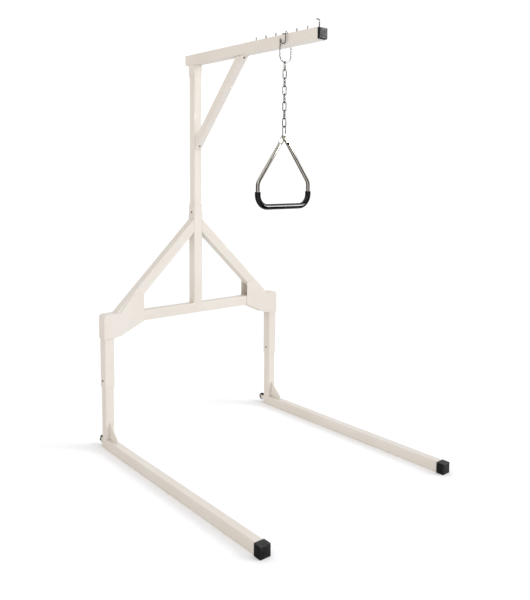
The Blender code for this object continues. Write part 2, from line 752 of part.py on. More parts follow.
for index in range(PIN_COUNT):
    spot = Vector((0, -FIRST_PIN - index * PIN_PITCH, ARM_TOP + GAP))
    rim = PIN_RADIUS * 0.7
    shoulder = PIN_HEIGHT - PIN_RADIUS / 3
    profile = ((0, 0), (0, PIN_RADIUS), (shoulder, PIN_RADIUS), (PIN_HEIGHT, rim), (PIN_HEIGHT, 0))
    turned("stop_pin_" + str(index + 1), profile, spot, AXIS_Z, STEEL, 16)

hook_foot = Vector((0, -HOOK_PLACE, ARM_TOP + GAP))
hook_top = hook_foot + AXIS_Z * HOOK_RISE
hook_tip = hook_top + Vector((*HOOK_LEAN, 0))
hook_path = rounded_path((hook_foot, hook_top, hook_tip), (0, HOOK_BEND, 0), False)
wire("end_hook", hook_path, HOOK_RADIUS, STEEL)


# Hanger bail: one bent wire that passes under the arm, closes over its top and ends in a catch on its left

BAIL_BOTTOM = ARM_UNDERSIDE - BAIL_DROP
BAIL_LEFT = BIG_HALF + BAIL_LEFT_PLAY + BAIL_RADIUS
BAIL_RIGHT = BIG_HALF + BAIL_RIGHT_PLAY + BAIL_RADIUS
BAIL_TOP = ARM_TOP + BAIL_TOP_PLAY + BAIL_RADIUS
BAIL_PIVOT = Vector((0, -BAIL_PLACE, BAIL_TOP))


def bail_path():
    """The wire starts at its left end, loops under the arm and over its top, and ends in the catch."""
    rear = -BAIL_PLACE
    front = rear - CATCH_FORWARD
    outside = BAIL_LEFT + 2 * BAIL_RADIUS + GAP
    inset = BAIL_LEFT - CATCH_INSET
    low = BAIL_TOP - CATCH_DROP
    points = ((-BAIL_LEFT, rear, BAIL_TOP - BAIL_LEFT_END), (-BAIL_LEFT, rear, BAIL_BOTTOM),
              (BAIL_RIGHT, rear, BAIL_BOTTOM), (BAIL_RIGHT, rear, BAIL_TOP), (-inset, rear, BAIL_TOP),
              (-inset, front, BAIL_TOP), (-outside, front, BAIL_TOP), (-outside, front, low),
              (-outside, rear - CATCH_TAIL, low))
    radii = (0, BAIL_BOW, BAIL_BOW, BAIL_CORNER, BAIL_CORNER, BAIL_CORNER, BAIL_CORNER, CATCH_RADIUS, 0)
    return rounded_path(points, radii, False, 6)


bail = wire("hanger_bail", bail_path(), BAIL_RADIUS, STEEL)
set_origin(bail, BAIL_PIVOT)


# Chain, and the longer link that joins it to the handle

def stadium_path(half_length, half_width, steps=6):
    """A closed oval as pairs of distances across and up."""
    path = []
    straight = half_length - half_width
    for sign in (1, -1):
        for step in range(steps + 1):
            angle = math.pi * step / steps
            up = straight + half_width * math.sin(angle)
            path.append((sign * half_width * math.cos(angle), sign * up))
    return path


def build_link(name, across, hung_on, opening, width):
    """An oval link, hung on a wire of the given height and radius. Returns its own lower wire's."""
    height, radius = hung_on
    half_length = opening / 2 + LINK_RADIUS
    centre = Vector((0, -BAIL_PLACE, height + radius + GAP + LINK_RADIUS - half_length))
    oval = stadium_path(half_length, width / 2 - LINK_RADIUS)
    path = [centre + across * u + AXIS_Z * v for u, v in oval]
    link = wire(name, path, LINK_RADIUS, STEEL, True)
    set_origin(link, (0, -BAIL_PLACE, height))
    return centre.z - half_length, LINK_RADIUS


LINK_OPENING = LINK_PITCH + GAP
lower_wire = (BAIL_BOTTOM, BAIL_RADIUS)
chain_turn = Matrix.Rotation(CHAIN_TURN, 3, "Z")
for index in range(LINK_COUNT):
    across = chain_turn @ (AXIS_Y if index % 2 == 0 else AXIS_X)
    lower_wire = build_link("chain_link_" + str(index + 1), across, lower_wire, LINK_OPENING, LINK_WIDTH)
across = AXIS_Y if LINK_COUNT % 2 == 0 else AXIS_X
LAST_WIRE, _ = build_link("connecting_link", across, lower_wire, LAST_LINK_OPENING, LAST_LINK_WIDTH)


# Handle: one bent tube whose flattened ends cross and share the hole that the last link passes through

HANDLE_PIVOT = Vector((0, -BAIL_PLACE, LAST_WIRE))
TAB_THICK = 2 * HANDLE_WALL + TAB_SLIT
LINK_BOW = LAST_LINK_WIDTH / 2 - LINK_RADIUS
BOW_RISE = LINK_BOW - math.sqrt(LINK_BOW ** 2 - (TAB_THICK + GAP) ** 2)
HOLE = HANDLE_PIVOT - AXIS_Z * (HANDLE_HOLE_RADIUS - LINK_RADIUS - BOW_RISE - HOLE_CLEARANCE)
APEX = HOLE + AXIS_Z * HANDLE_CROSSING
BEND_ANGLE = math.atan2(HANDLE_HALF_WIDTH, HANDLE_BEND)


def handle_point(side, across, below):
    return APEX + AXIS_X * (side * across) - AXIS_Z * below


def shoulder_point(side, along):
    """A point of one slanting side, at a distance from where the sides cross."""
    return handle_point(side, along * math.sin(BEND_ANGLE), along * math.cos(BEND_ANGLE))


def handle_centreline():
    """Points from the left flattened end, round the bottom bar, to the right flattened end."""
    sides = {}
    for side in (LEFT, RIGHT):
        sides[side] = [shoulder_point(side, TAB_LENGTH + TAB_TAPER),
                       handle_point(side, HANDLE_HALF_WIDTH, HANDLE_BEND),
                       handle_point(side, HANDLE_HALF_WIDTH, HANDLE_BAR)]
    radii = (0, HANDLE_BEND_RADIUS, HANDLE_CORNER_RADIUS)
    return rounded_path(sides[LEFT] + sides[RIGHT][::-1], radii + radii[::-1], False, 7)


def pressed_outline(half_width, half_thick):
    """Outline of a tube pressed flat: the width lies in the plane of the handle."""
    outline = []
    for index in range(HANDLE_FACETS):
        angle = 2 * math.pi * (index + 0.5) / HANDLE_FACETS
        straight = half_width - half_thick
        outline.append((math.copysign(straight, math.cos(angle)) + half_thick * math.cos(angle),
                        half_thick * math.sin(angle)))
    return outline


def partly_pressed(thin, share):
    """Outline of the handle tube, or of its bore, between round and fully flat."""
    round_outline = pressed_outline(HANDLE_RADIUS - thin, HANDLE_RADIUS - thin)
    flat_outline = pressed_outline(TAB_HALF_WIDTH - thin, TAB_THICK / 2 - thin)
    return [(round_u + (flat_u - round_u) * share, round_v + (flat_v - round_v) * share)
            for (round_u, round_v), (flat_u, flat_v) in zip(round_outline, flat_outline)]


def sweep_tube(name, stations, material):
    """A hollow solid in the handle's plane through stations: a centre with an outer and an inner outline."""
    shape = bmesh.new()
    walls = ([], [])
    for index, (centre, *outlines) in enumerate(stations):
        before = stations[max(index - 1, 0)][0]
        after = stations[min(index + 1, len(stations) - 1)][0]
        along = (centre - before).normalized() + (after - centre).normalized()
        across = AXIS_Y.cross(Vector((along.x, 0, along.z)).normalized())
        for wall, outline in zip(walls, outlines):
            wall.append([shape.verts.new(centre + across * u + AXIS_Y * v) for u, v in outline])
    outer, inner = walls
    for index in range(HANDLE_FACETS):
        after = (index + 1) % HANDLE_FACETS
        for wall in walls:
            for first, second in zip(wall, wall[1:]):
                shape.faces.new((first[index], first[after], second[after], second[index]))
        for end in (0, -1):
            shape.faces.new((outer[end][index], outer[end][after], inner[end][after], inner[end][index]))
    return add_object(name, shape, material)


def tab_stations(side):
    """Places along a flattened end: distance from the crossing, share of flatness, shift from the plane."""
    shift = side * -(TAB_THICK + GAP) / 2
    stations = [(-TAB_BEYOND, 1.0, shift), (TAB_LENGTH / 2, 1.0, shift)]
    for share in (1.0, 0.9, 0.65, 0.35, 0.1):
        stations.append((TAB_LENGTH + TAB_TAPER * (1 - share), share, shift * share))
    return stations


def build_handle():
    places = [(shoulder_point(LEFT, along) + AXIS_Y * shift, share)
              for along, share, shift in tab_stations(LEFT)]
    places += [(point, 0.0) for point in handle_centreline()]
    places += [(shoulder_point(RIGHT, along) + AXIS_Y * shift, share)
               for along, share, shift in reversed(tab_stations(RIGHT))]
    stations = [(centre, partly_pressed(0, share), partly_pressed(HANDLE_WALL, share))
                for centre, share in places]
    return sweep_tube("handle", stations, CHROME)


def build_grip():
    """The moulded sleeve over the bottom bar and both lower corners."""
    corners = [handle_point(side, HANDLE_HALF_WIDTH, HANDLE_BAR) for side in (LEFT, RIGHT)]
    rise = AXIS_Z * GRIP_LENGTH_UP
    points = (corners[0] + rise, *corners, corners[1] + rise)
    path = rounded_path(points, (0, HANDLE_CORNER_RADIUS, HANDLE_CORNER_RADIUS, 0), False, 7)
    outer = pressed_outline(GRIP_RADIUS, GRIP_RADIUS)
    inner = pressed_outline(HANDLE_RADIUS + GAP, HANDLE_RADIUS + GAP)
    return sweep_tube("handle_grip", [(point, outer, inner) for point in path], VINYL)


handle = build_handle()
drill(handle, HANDLE_HOLE_RADIUS, HOLE - AXIS_Y * BIG_HALF, HOLE + AXIS_Y * BIG_HALF)
bake(handle)
set_origin(handle, HANDLE_PIVOT)
set_origin(build_grip(), HANDLE_PIVOT)


def centre_on_floor():
    """Move everything along Y so that the origin lies on the floor in the middle of the footprint."""
    bpy.context.view_layer.update()
    places = [(item.matrix_world @ vertex.co).y for item in PARTS.objects for vertex in item.data.vertices]
    shift = -(min(places) + max(places)) / 2
    for item in PARTS.objects:
        item.location.y += shift


centre_on_floor()
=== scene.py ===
"""Looks of the freestanding trapeze: camera, light, floor, materials and the finer pieces.

Metres, +Z up. The legs and the arm point along -Y; -X is the left side.
"""

import json
import math

import bmesh
import bpy
from mathutils import Matrix, Vector

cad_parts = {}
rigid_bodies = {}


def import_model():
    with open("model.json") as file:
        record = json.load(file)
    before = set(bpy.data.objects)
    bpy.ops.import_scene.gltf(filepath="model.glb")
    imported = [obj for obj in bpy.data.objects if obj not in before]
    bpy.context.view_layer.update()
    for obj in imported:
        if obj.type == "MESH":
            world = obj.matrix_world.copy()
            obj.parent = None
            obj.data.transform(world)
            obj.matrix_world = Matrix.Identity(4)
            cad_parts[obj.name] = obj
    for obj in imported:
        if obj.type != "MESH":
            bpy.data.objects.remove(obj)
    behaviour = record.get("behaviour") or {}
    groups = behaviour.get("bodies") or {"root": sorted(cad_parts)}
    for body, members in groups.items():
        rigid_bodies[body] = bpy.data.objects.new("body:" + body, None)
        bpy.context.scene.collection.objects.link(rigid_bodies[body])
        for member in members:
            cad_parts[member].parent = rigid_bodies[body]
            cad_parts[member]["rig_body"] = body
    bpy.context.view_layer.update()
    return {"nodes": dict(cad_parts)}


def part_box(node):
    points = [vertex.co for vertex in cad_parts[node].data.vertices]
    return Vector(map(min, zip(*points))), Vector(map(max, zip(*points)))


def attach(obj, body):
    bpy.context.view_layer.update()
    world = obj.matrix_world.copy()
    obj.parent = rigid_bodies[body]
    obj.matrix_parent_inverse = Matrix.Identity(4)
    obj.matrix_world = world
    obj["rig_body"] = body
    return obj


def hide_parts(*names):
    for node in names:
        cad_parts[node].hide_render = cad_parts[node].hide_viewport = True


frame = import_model()
nodes = frame["nodes"]

AXIS_X = Vector((1, 0, 0))
AXIS_Y = Vector((0, 1, 0))
AXIS_Z = Vector((0, 0, 1))

# A colour mix node's sockets, which share their names with its other kinds of input
MIX_FIRST, MIX_SECOND, MIX_RESULT = 6, 7, 2


def placed(name, data):
    """A new object of the scene."""
    thing = bpy.data.objects.new(name, data)
    bpy.context.scene.collection.objects.link(thing)
    return thing


# Camera

CAMERA_PLACE = Vector((-2.0485, -2.438502, 1.3840))
CAMERA_AZIMUTH = math.radians(-39.997)
CAMERA_ELEVATION = math.radians(5.019)
CAMERA_ROLL = math.radians(0.421)
CAMERA_LENS = 40.83
CAMERA_SENSOR = 36.0
CAMERA_SHIFT = -0.115
CAMERA_NEAR, CAMERA_FAR = 0.05, 60.0


def build_camera():
    azimuth, elevation, roll = CAMERA_AZIMUTH, CAMERA_ELEVATION, CAMERA_ROLL
    back = Vector((math.sin(azimuth) * math.cos(elevation), -math.cos(azimuth) * math.cos(elevation),
                   math.sin(elevation)))
    right = Vector((math.cos(azimuth), math.sin(azimuth), 0.0))
    up = back.cross(right)
    turned_right = right * math.cos(roll) + up * math.sin(roll)
    turned_up = up * math.cos(roll) - right * math.sin(roll)
    data = bpy.data.cameras.new("camera")
    data.sensor_width = CAMERA_SENSOR
    data.lens = CAMERA_LENS
    data.shift_y = CAMERA_SHIFT
    data.clip_start = CAMERA_NEAR
    data.clip_end = CAMERA_FAR
    camera = placed("camera", data)
    turn = Matrix((turned_right, turned_up, back)).transposed()
    camera.matrix_world = Matrix.Translation(CAMERA_PLACE) @ turn.to_4x4()
    bpy.context.scene.camera = camera


# Light and floor

WHITE = (1.0, 1.0, 1.0, 1.0)
SUN_FROM = Vector((0.58, -0.60, 0.55))
SUN_STRENGTH = 1.02
SUN_WIDTH = math.radians(26)
SKY_STRENGTH = 0.82
SKY_LEFT = (1.38, 1.21, 1.03, 1.0)
SKY_TOP = (1.10, 1.12, 1.16, 1.0)
SKY_FADE = ((0.0, 0.0), (0.8, 1.0))
BACKDROP_STRENGTH = 1.05

# What gloss mirrors. Each area has a compass direction. Its TOWARDS pairs give a brightness by how near
# a ray is to that direction, up to 1, and its HEIGHT pairs give one by how steeply the ray rises.
MIRROR_TINT = (1.0, 0.985, 0.955, 1.0)
MIRRORED_ROOM = 0.62
DARK_CARD = Vector((0.29, -0.956, 0.0))
CARD_TOWARDS = ((0.88, 1.0), (0.955, 0.05), (1.0, 0.05))
SHADED_SIDE = Vector((-0.70, 0.71, 0.0))
SHADED_TOWARDS = ((0.30, 1.0), (0.68, 0.14), (1.0, 0.10))
SHADED_HEIGHT = ((0.15, 0.0), (0.55, 1.0))
LOW_DARK = Vector((0.53, -0.848, 0.0))
LOW_TOWARDS = ((0.80, 1.0), (0.90, 0.10))
LOW_HEIGHT = ((0.0, 0.0), (0.06, 1.0))
LIGHT_STRIP = Vector((0.695, -0.719, 0.0))
STRIP_TOWARDS = ((0.9903, 0.0), (0.9945, 1.0))
STRIP_FOOT = ((0.11, 0.0), (0.15, 1.0))
STRIP_HEAD = ((0.27, 1.0), (0.31, 0.0))
STRIP_STRENGTH = 34.0
SOFT_PANEL = Vector((0.656, -0.755, 0.0))
PANEL_TOWARDS = ((0.9903, 0.0), (0.9962, 1.0))
PANEL_HEIGHT = ((0.0, 0.0), (0.03, 1.0), (0.14, 1.0), (0.20, 0.0))
PANEL_STRENGTH = 1.5

FLOOR_HALF = 20.0
FLOOR_COLOUR = (0.93, 0.93, 0.93, 1.0)
FLOOR_GLOW = 0.06


class Studio:
    """Node helpers for the world, in terms of the direction that a ray leaves in."""

    def __init__(self, tree):
        self.tree = tree
        self.direction = tree.nodes.new("ShaderNodeTexCoord").outputs["Generated"]
        flat = self.vector("MULTIPLY", self.direction, (1.0, 1.0, 0.0))
        self.level = self.vector("NORMALIZE", flat)

    def vector(self, operation, first, second=None):
        node = self.tree.nodes.new("ShaderNodeVectorMath")
        node.operation = operation
        self.tree.links.new(first, node.inputs[0])
        if second is not None:
            node.inputs[1].default_value = second
        return node.outputs["Value" if operation == "DOT_PRODUCT" else "Vector"]

    def ramp(self, value, stops):
        """A brightness that follows (position, brightness) pairs."""
        node = self.tree.nodes.new("ShaderNodeValToRGB")
        node.color_ramp.interpolation = "EASE"
        elements = node.color_ramp.elements
        for element, (position, shade) in zip(elements, (stops[0], stops[-1])):
            element.position = position
            element.color = (shade, shade, shade, 1.0)
        for position, shade in stops[1:-1]:
            elements.new(position).color = (shade, shade, shade, 1.0)
        self.tree.links.new(value, node.inputs["Fac"])
        return node.outputs["Color"]

    def towards(self, centre, stops):
        """A brightness by how near the compass direction is to a centre, from -1 to 1."""
        return self.ramp(self.vector("DOT_PRODUCT", self.level, centre.normalized()), stops)

    def math(self, operation, first, second):
        node = self.tree.nodes.new("ShaderNodeMath")
        node.operation = operation
        for socket, value in zip(node.inputs, (first, second)):
            if isinstance(value, float):
                socket.default_value = value
            else:
                self.tree.links.new(value, socket)
        return node.outputs["Value"]

    def product(self, first, *others):
        for other in others:
            first = self.math("MULTIPLY", first, other)
        return first

    def sky_colour(self):
        """White, tinted towards the left and towards the top."""
        colour = None
        for axis, shade in ((-AXIS_X, SKY_LEFT), (AXIS_Z, SKY_TOP)):
            tint = self.tree.nodes.new("ShaderNodeMix")
            tint.data_type = "RGBA"
            tint.inputs[MIX_FIRST].default_value = WHITE
            tint.inputs[MIX_SECOND].default_value = shade
            if colour:
                self.tree.links.new(colour, tint.inputs[MIX_FIRST])
            share = self.vector("DOT_PRODUCT", self.direction, axis)
            self.tree.links.new(self.ramp(share, SKY_FADE), tint.inputs["Factor"])
            colour = tint.outputs[MIX_RESULT]
        return colour

    def mirrored_strength(self):
        """The room with its dark areas, a soft panel and a bright strip."""
        height = self.vector("DOT_PRODUCT", self.direction, AXIS_Z)
        card = self.towards(DARK_CARD, CARD_TOWARDS)
        shade = self.towards(SHADED_SIDE, SHADED_TOWARDS)
        shade = self.math("MAXIMUM", shade, self.ramp(height, SHADED_HEIGHT))
        low_front = self.towards(LOW_DARK, LOW_TOWARDS)
        low_front = self.math("MAXIMUM", low_front, self.ramp(height, LOW_HEIGHT))
        room = self.product(card, shade, MIRRORED_ROOM, low_front)
        panel = self.towards(SOFT_PANEL, PANEL_TOWARDS)
        panel = self.product(self.ramp(height, PANEL_HEIGHT), panel, PANEL_STRENGTH)
        strip = self.product(self.ramp(height, STRIP_FOOT), self.ramp(height, STRIP_HEAD), STRIP_STRENGTH,
                             self.towards(LIGHT_STRIP, STRIP_TOWARDS))
        return self.math("ADD", self.math("ADD", room, panel), strip)


def build_light():
    """A white studio with a soft sun from the right front. Gloss mirrors dark cards and a light strip."""
    world = bpy.data.worlds.new("studio")
    bpy.context.scene.world = world
    world.use_nodes = True
    tree = world.node_tree
    add, link = tree.nodes.new, tree.links.new
    studio = Studio(tree)
    sky = tree.nodes["Background"]
    sky.inputs["Strength"].default_value = SKY_STRENGTH
    link(studio.sky_colour(), sky.inputs["Color"])
    mirrored = add("ShaderNodeBackground")
    mirrored.inputs["Color"].default_value = MIRROR_TINT
    link(studio.mirrored_strength(), mirrored.inputs["Strength"])
    backdrop = add("ShaderNodeBackground")
    backdrop.inputs["Color"].default_value = WHITE
    backdrop.inputs["Strength"].default_value = BACKDROP_STRENGTH
    ray = add("ShaderNodeLightPath")
    seen = sky.outputs["Background"]
    for kind, other in (("Is Glossy Ray", mirrored), ("Is Camera Ray", backdrop)):
        mix = add("ShaderNodeMixShader")
        link(ray.outputs[kind], mix.inputs["Fac"])
        link(seen, mix.inputs[1])
        link(other.outputs["Background"], mix.inputs[2])
        seen = mix.outputs["Shader"]
    link(seen, tree.nodes["World Output"].inputs["Surface"])

    data = bpy.data.lights.new("sun", "SUN")
    data.energy = SUN_STRENGTH
    data.angle = SUN_WIDTH
    placed("sun", data).rotation_euler = SUN_FROM.to_track_quat("Z", "Y").to_euler()
    bpy.context.scene.view_settings.view_transform = "Standard"


def build_floor():
    """A plain white floor. Gloss doesn't mirror it, so that the cards show in metal instead."""
    mesh = bpy.data.meshes.new("floor")
    corners = [(x * FLOOR_HALF, y * FLOOR_HALF, 0.0) for x, y in ((-1, -1), (1, -1), (1, 1), (-1, 1))]
    mesh.from_pydata(corners, [], [(0, 1, 2, 3)])
    floor = placed("floor", mesh)
    material = bpy.data.materials.new("floor")
    material.use_nodes = True
    shader = material.node_tree.nodes["Principled BSDF"]
    for name, value in (("Base Color", FLOOR_COLOUR), ("Roughness", 1.0), ("Specular IOR Level", 0.0),
                        ("Emission Color", WHITE), ("Emission Strength", FLOOR_GLOW)):
        shader.inputs[name].default_value = value
    mesh.materials.append(material)
    floor.visible_glossy = False


# Materials

EDGE_SAMPLES = 4
EDGE_STARTS, EDGE_FULL = 0.995, 0.86
HOLLOW_SAMPLES = 8
HOLLOW_STARTS, HOLLOW_FULL = 0.80, 0.30


class Surface:
    """One procedural material. Patterns are laid out in metres on the object itself, so a noise's scale is
    in waves for each metre. Edges and hollows are given in metres too."""

    def __init__(self, name):
        self.material = bpy.data.materials.new(name)
        self.material.use_nodes = True
        self.tree = self.material.node_tree
        self.shader = self.tree.nodes["Principled BSDF"]
        self.place = self.add("ShaderNodeTexCoord").outputs["Object"]

    def add(self, kind, **inputs):
        node = self.tree.nodes.new(kind)
        for name, value in inputs.items():
            node.inputs[name].default_value = value
        return node

    def set(self, **values):
        for name, value in values.items():
            socket = self.shader.inputs[name.replace("_", " ")]
            socket.default_value = (*value, 1.0) if isinstance(value, tuple) else value

    def join(self, source, target):
        self.tree.links.new(source, target)

    def stretched(self, scale):
        node = self.add("ShaderNodeMapping", Scale=scale)
        self.join(self.place, node.inputs["Vector"])
        return node.outputs["Vector"]

    def noise(self, scale, detail, roughness=0.5, place=None):
        node = self.add("ShaderNodeTexNoise", Scale=scale, Detail=detail, Roughness=roughness)
        self.join(place or self.place, node.inputs["Vector"])
        return node.outputs["Fac"]

    def cells(self, scale):
        node = self.add("ShaderNodeTexVoronoi", Scale=scale)
        self.join(self.place, node.inputs["Vector"])
        return node.outputs["Distance"]

    def spread(self, value, low, high, to_low, to_high):
        """Lays a value from low to high out between two others, and holds it at its ends."""
        node = self.add("ShaderNodeMapRange")
        for name, number in zip(("From Min", "From Max", "To Min", "To Max"), (low, high, to_low, to_high)):
            node.inputs[name].default_value = number
        self.join(value, node.inputs["Value"])
        return node.outputs["Result"]

    def patches(self, scale, detail, low, high, to_low=0.0, to_high=1.0, roughness=0.5):
        """Noise of a scale and a detail, spread out."""
        return self.spread(self.noise(scale, detail, roughness), low, high, to_low, to_high)

    def times(self, first, second):
        node = self.add("ShaderNodeMath")
        node.operation = "MULTIPLY"
        self.join(first, node.inputs[0])
        self.join(second, node.inputs[1])
        return node.outputs["Value"]

    def edges(self, radius):
        """How near a point is to a sharp edge, from 0 to 1."""
        bevel = self.add("ShaderNodeBevel", Radius=radius)
        bevel.samples = EDGE_SAMPLES
        geometry = self.add("ShaderNodeNewGeometry")
        node = self.add("ShaderNodeVectorMath")
        node.operation = "DOT_PRODUCT"
        self.join(bevel.outputs["Normal"], node.inputs[0])
        self.join(geometry.outputs["Normal"], node.inputs[1])
        return self.spread(node.outputs["Value"], EDGE_STARTS, EDGE_FULL, 0.0, 1.0)

    def hollows(self, distance):
        """How far a point lies in a crevice, from 0 in the open to 1: the mask for painted shade in crevices.
        """
        node = self.add("ShaderNodeAmbientOcclusion", Distance=distance)
        node.samples = HOLLOW_SAMPLES
        return self.spread(node.outputs["AO"], HOLLOW_STARTS, HOLLOW_FULL, 0.0, 1.0)

    def blend(self, share, first, second):
        """Mixes two colours; each is a colour or another blend."""
        node = self.add("ShaderNodeMix")
        node.data_type = "RGBA"
        self.join(share, node.inputs["Factor"])
        for socket, value in ((node.inputs[MIX_FIRST], first), (node.inputs[MIX_SECOND], second)):
            if isinstance(value, tuple):
                socket.default_value = (*value, 1.0)
            else:
                self.join(value, socket)
        return node.outputs[MIX_RESULT]

    def colour(self, value):
        self.join(value, self.shader.inputs["Base Color"])

    def rough(self, value):
        self.join(value, self.shader.inputs["Roughness"])

    def bumps(self, *layers):
        """Stacks bump maps, each a pattern with a height in metres."""
        normal = None
        for pattern, height in layers:
            node = self.add("ShaderNodeBump", Strength=1.0, Distance=height)
            self.join(pattern, node.inputs["Height"])
            if normal:
                self.join(normal, node.inputs["Normal"])
            normal = node.outputs["Normal"]
        self.join(normal, self.shader.inputs["Normal"])


def drifting(name, tones, drift, rough, grain, specular=0.5, worn=None, cells=None):
    """A finish that drifts between two tones, with uneven roughness and a fine grain.

    drift and rough hold what patches() takes. grain has pairs of what noise() takes and a height. worn is
    an edge's width, its patches and its tone. cells is a scale and a height."""
    look = Surface(name)
    tone = look.blend(look.patches(*drift), *tones)
    if worn:
        width, wear, worn_tone = worn
        tone = look.blend(look.times(look.edges(width), look.patches(*wear)), tone, worn_tone)
    look.colour(tone)
    look.rough(look.patches(*rough))
    look.set(Specular_IOR_Level=specular)
    layers = [(look.noise(*pattern), height) for pattern, height in grain]
    if cells:
        layers.append((look.cells(cells[0]), cells[1]))
    look.bumps(*layers)
    return look.material


def powder_coat():
    """Cream powder coat: faint orange peel, slow drifts of tone, painted shade that darkens a thin band along
    the edges, and a few rubbed spots.
    """
    look = Surface("powder_coat")
    drift = look.patches(3.2, 2.0, 0.35, 0.65)
    tone = look.blend(drift, (0.725, 0.675, 0.610), (0.760, 0.718, 0.664))
    fleck = look.patches(260.0, 2.0, 0.66, 0.74, 0.0, 0.30, roughness=0.6)
    tone = look.blend(fleck, tone, (0.66, 0.60, 0.52))
    near = look.edges(0.0016)
    # Painted shade: a thin band along every edge is darkened towards a deeper cream.
    tone = look.blend(look.spread(near, 0.0, 1.0, 0.0, 0.55), tone, (0.60, 0.545, 0.475))
    rubbed = look.times(near, look.patches(48.0, 4.0, 0.52, 0.66))
    look.colour(look.blend(rubbed, tone, (0.845, 0.810, 0.750)))
    look.rough(look.patches(26.0, 4.0, 0.3, 0.7, 0.36, 0.50))
    look.set(Specular_IOR_Level=0.38, Coat_Weight=0.08, Coat_Roughness=0.24)
    look.bumps((look.noise(520.0, 2.0, 0.45), 0.00011), (look.noise(90.0, 2.0), 0.00020))
    return look.material


def zinc_steel():
    """Bright zinc-plated steel: cloudy plating, drawing lines, and painted shade that darkens it in crevices
    where pieces meet.
    """
    look = Surface("zinc_steel")
    cloud = look.patches(160.0, 4.0, 0.35, 0.68, roughness=0.6)
    tone = look.blend(cloud, (0.25, 0.245, 0.24), (0.41, 0.405, 0.395))
    worn = look.times(look.edges(0.0006), look.patches(300.0, 2.0, 0.4, 0.6, 0.2, 1.0))
    tone = look.blend(worn, tone, (0.66, 0.655, 0.64))
    # Painted shade: the tone goes nearly black in crevices, where links touch and parts meet.
    look.colour(look.blend(look.hollows(0.007), tone, (0.07, 0.066, 0.06)))
    look.set(Metallic=1.0)
    look.rough(look.patches(240.0, 4.0, 0.3, 0.7, 0.20, 0.36, roughness=0.6))
    lines = look.noise(900.0, 2.0, 0.5, look.stretched((1.0, 1.0, 0.12)))
    look.bumps((lines, 0.00003),)
    return look.material


def dark_steel():
    """Bolt steel painted nearly black as painted shade, for the bolt heads that sit in shade at the brace's
    ends; a little rubbed on its edges.
    """
    look = Surface("bolt_steel_in_shade")
    cloud = look.patches(200.0, 4.0, 0.35, 0.68, roughness=0.6)
    tone = look.blend(cloud, (0.020, 0.020, 0.021), (0.045, 0.044, 0.043))
    look.colour(look.blend(look.times(look.edges(0.0006), cloud), tone, (0.16, 0.155, 0.15)))
    look.set(Metallic=0.8)
    look.rough(look.patches(300.0, 3.0, 0.3, 0.7, 0.42, 0.58))
    look.bumps((look.noise(1100.0, 2.0), 0.00004),)
    return look.material


def chrome():
    """Polished chrome plating with a faint haze of handling marks."""
    look = Surface("chrome")
    haze = look.patches(42.0, 5.0, 0.42, 0.7, roughness=0.62)
    look.colour(look.blend(haze, (0.74, 0.705, 0.655), (0.64, 0.61, 0.565)))
    look.set(Metallic=1.0)
    look.rough(look.patches(65.0, 5.0, 0.35, 0.75, 0.03, 0.09, roughness=0.6))
    lines = look.noise(700.0, 2.0, 0.5, look.stretched((1.0, 1.0, 0.06)))
    look.bumps((lines, 0.000006),)
    return look.material


COAT = powder_coat()
STEEL = zinc_steel()
SHADED_BOLT_STEEL = dark_steel()
CHROME = chrome()

# The cream coat where it lies over a weld, a touch darker
WELD = drifting("weld_coat", ((0.690, 0.635, 0.560), (0.745, 0.695, 0.630)), (120.0, 3.0, 0.35, 0.65),
                (60.0, 3.0, 0.3, 0.7, 0.40, 0.52), [((700.0, 2.0), 0.00012)], 0.45)

# Black moulded rubber with a dusty bloom, scuffed edges and a pebbled skin
RUBBER = drifting("black_rubber", ((0.005, 0.005, 0.006), (0.016, 0.016, 0.018)),
                  (34.0, 5.0, 0.40, 0.72, 0.0, 1.0, 0.6), (70.0, 4.0, 0.3, 0.7, 0.38, 0.58),
                  [((900.0, 3.0, 0.6), 0.00010)], 0.62,
                  (0.0012, (140.0, 4.0, 0.40, 0.60, 0.1, 0.8), (0.055, 0.055, 0.060)), (420.0, 0.00006))

# Charcoal moulded plastic with a fine spark-eroded grain
PLASTIC = drifting("charcoal_plastic", ((0.012, 0.012, 0.015), (0.022, 0.022, 0.027)), (55.0, 4.0, 0.35, 0.7),
                   (80.0, 3.0, 0.3, 0.7, 0.40, 0.54), [((1300.0, 2.0, 0.6), 0.00007)], 0.36,
                   (0.0010, (160.0, 3.0, 0.42, 0.6, 0.1, 0.8), (0.07, 0.07, 0.08)))

# Glossy black moulded vinyl, slightly uneven and a little duller in patches
VINYL = drifting("black_vinyl", ((0.002, 0.002, 0.0025), (0.005, 0.005, 0.006)), (28.0, 4.0, 0.35, 0.7),
                 (38.0, 5.0, 0.32, 0.72, 0.09, 0.17, 0.6),
                 [((240.0, 3.0, 0.5), 0.00005), ((32.0, 2.0), 0.00020)], 0.50,
                 (0.0010, (120.0, 3.0, 0.4, 0.6, 0.0, 0.7), (0.03, 0.03, 0.032)))

# The pale moulded nylon of the wheel hubs
NYLON = drifting("pale_nylon", ((0.58, 0.57, 0.54), (0.70, 0.69, 0.66)), (90.0, 3.0, 0.35, 0.7),
                 (120.0, 3.0, 0.3, 0.7, 0.38, 0.55), [((900.0, 2.0), 0.00006)])


# Making pieces

SMOOTH_ANGLE = math.radians(38)
WELD_DISTANCE = 2e-6
FLAT_ANGLE = math.radians(0.3)
ROUNDING_ANGLE = math.radians(32)
ROUNDING_SEGMENTS = 2
DOME_STEPS = 4
DOME_FIRST = 0.6
DOME_LENGTH = 0.8
EVEN_WEIGHT = 100
STEEP = 0.9


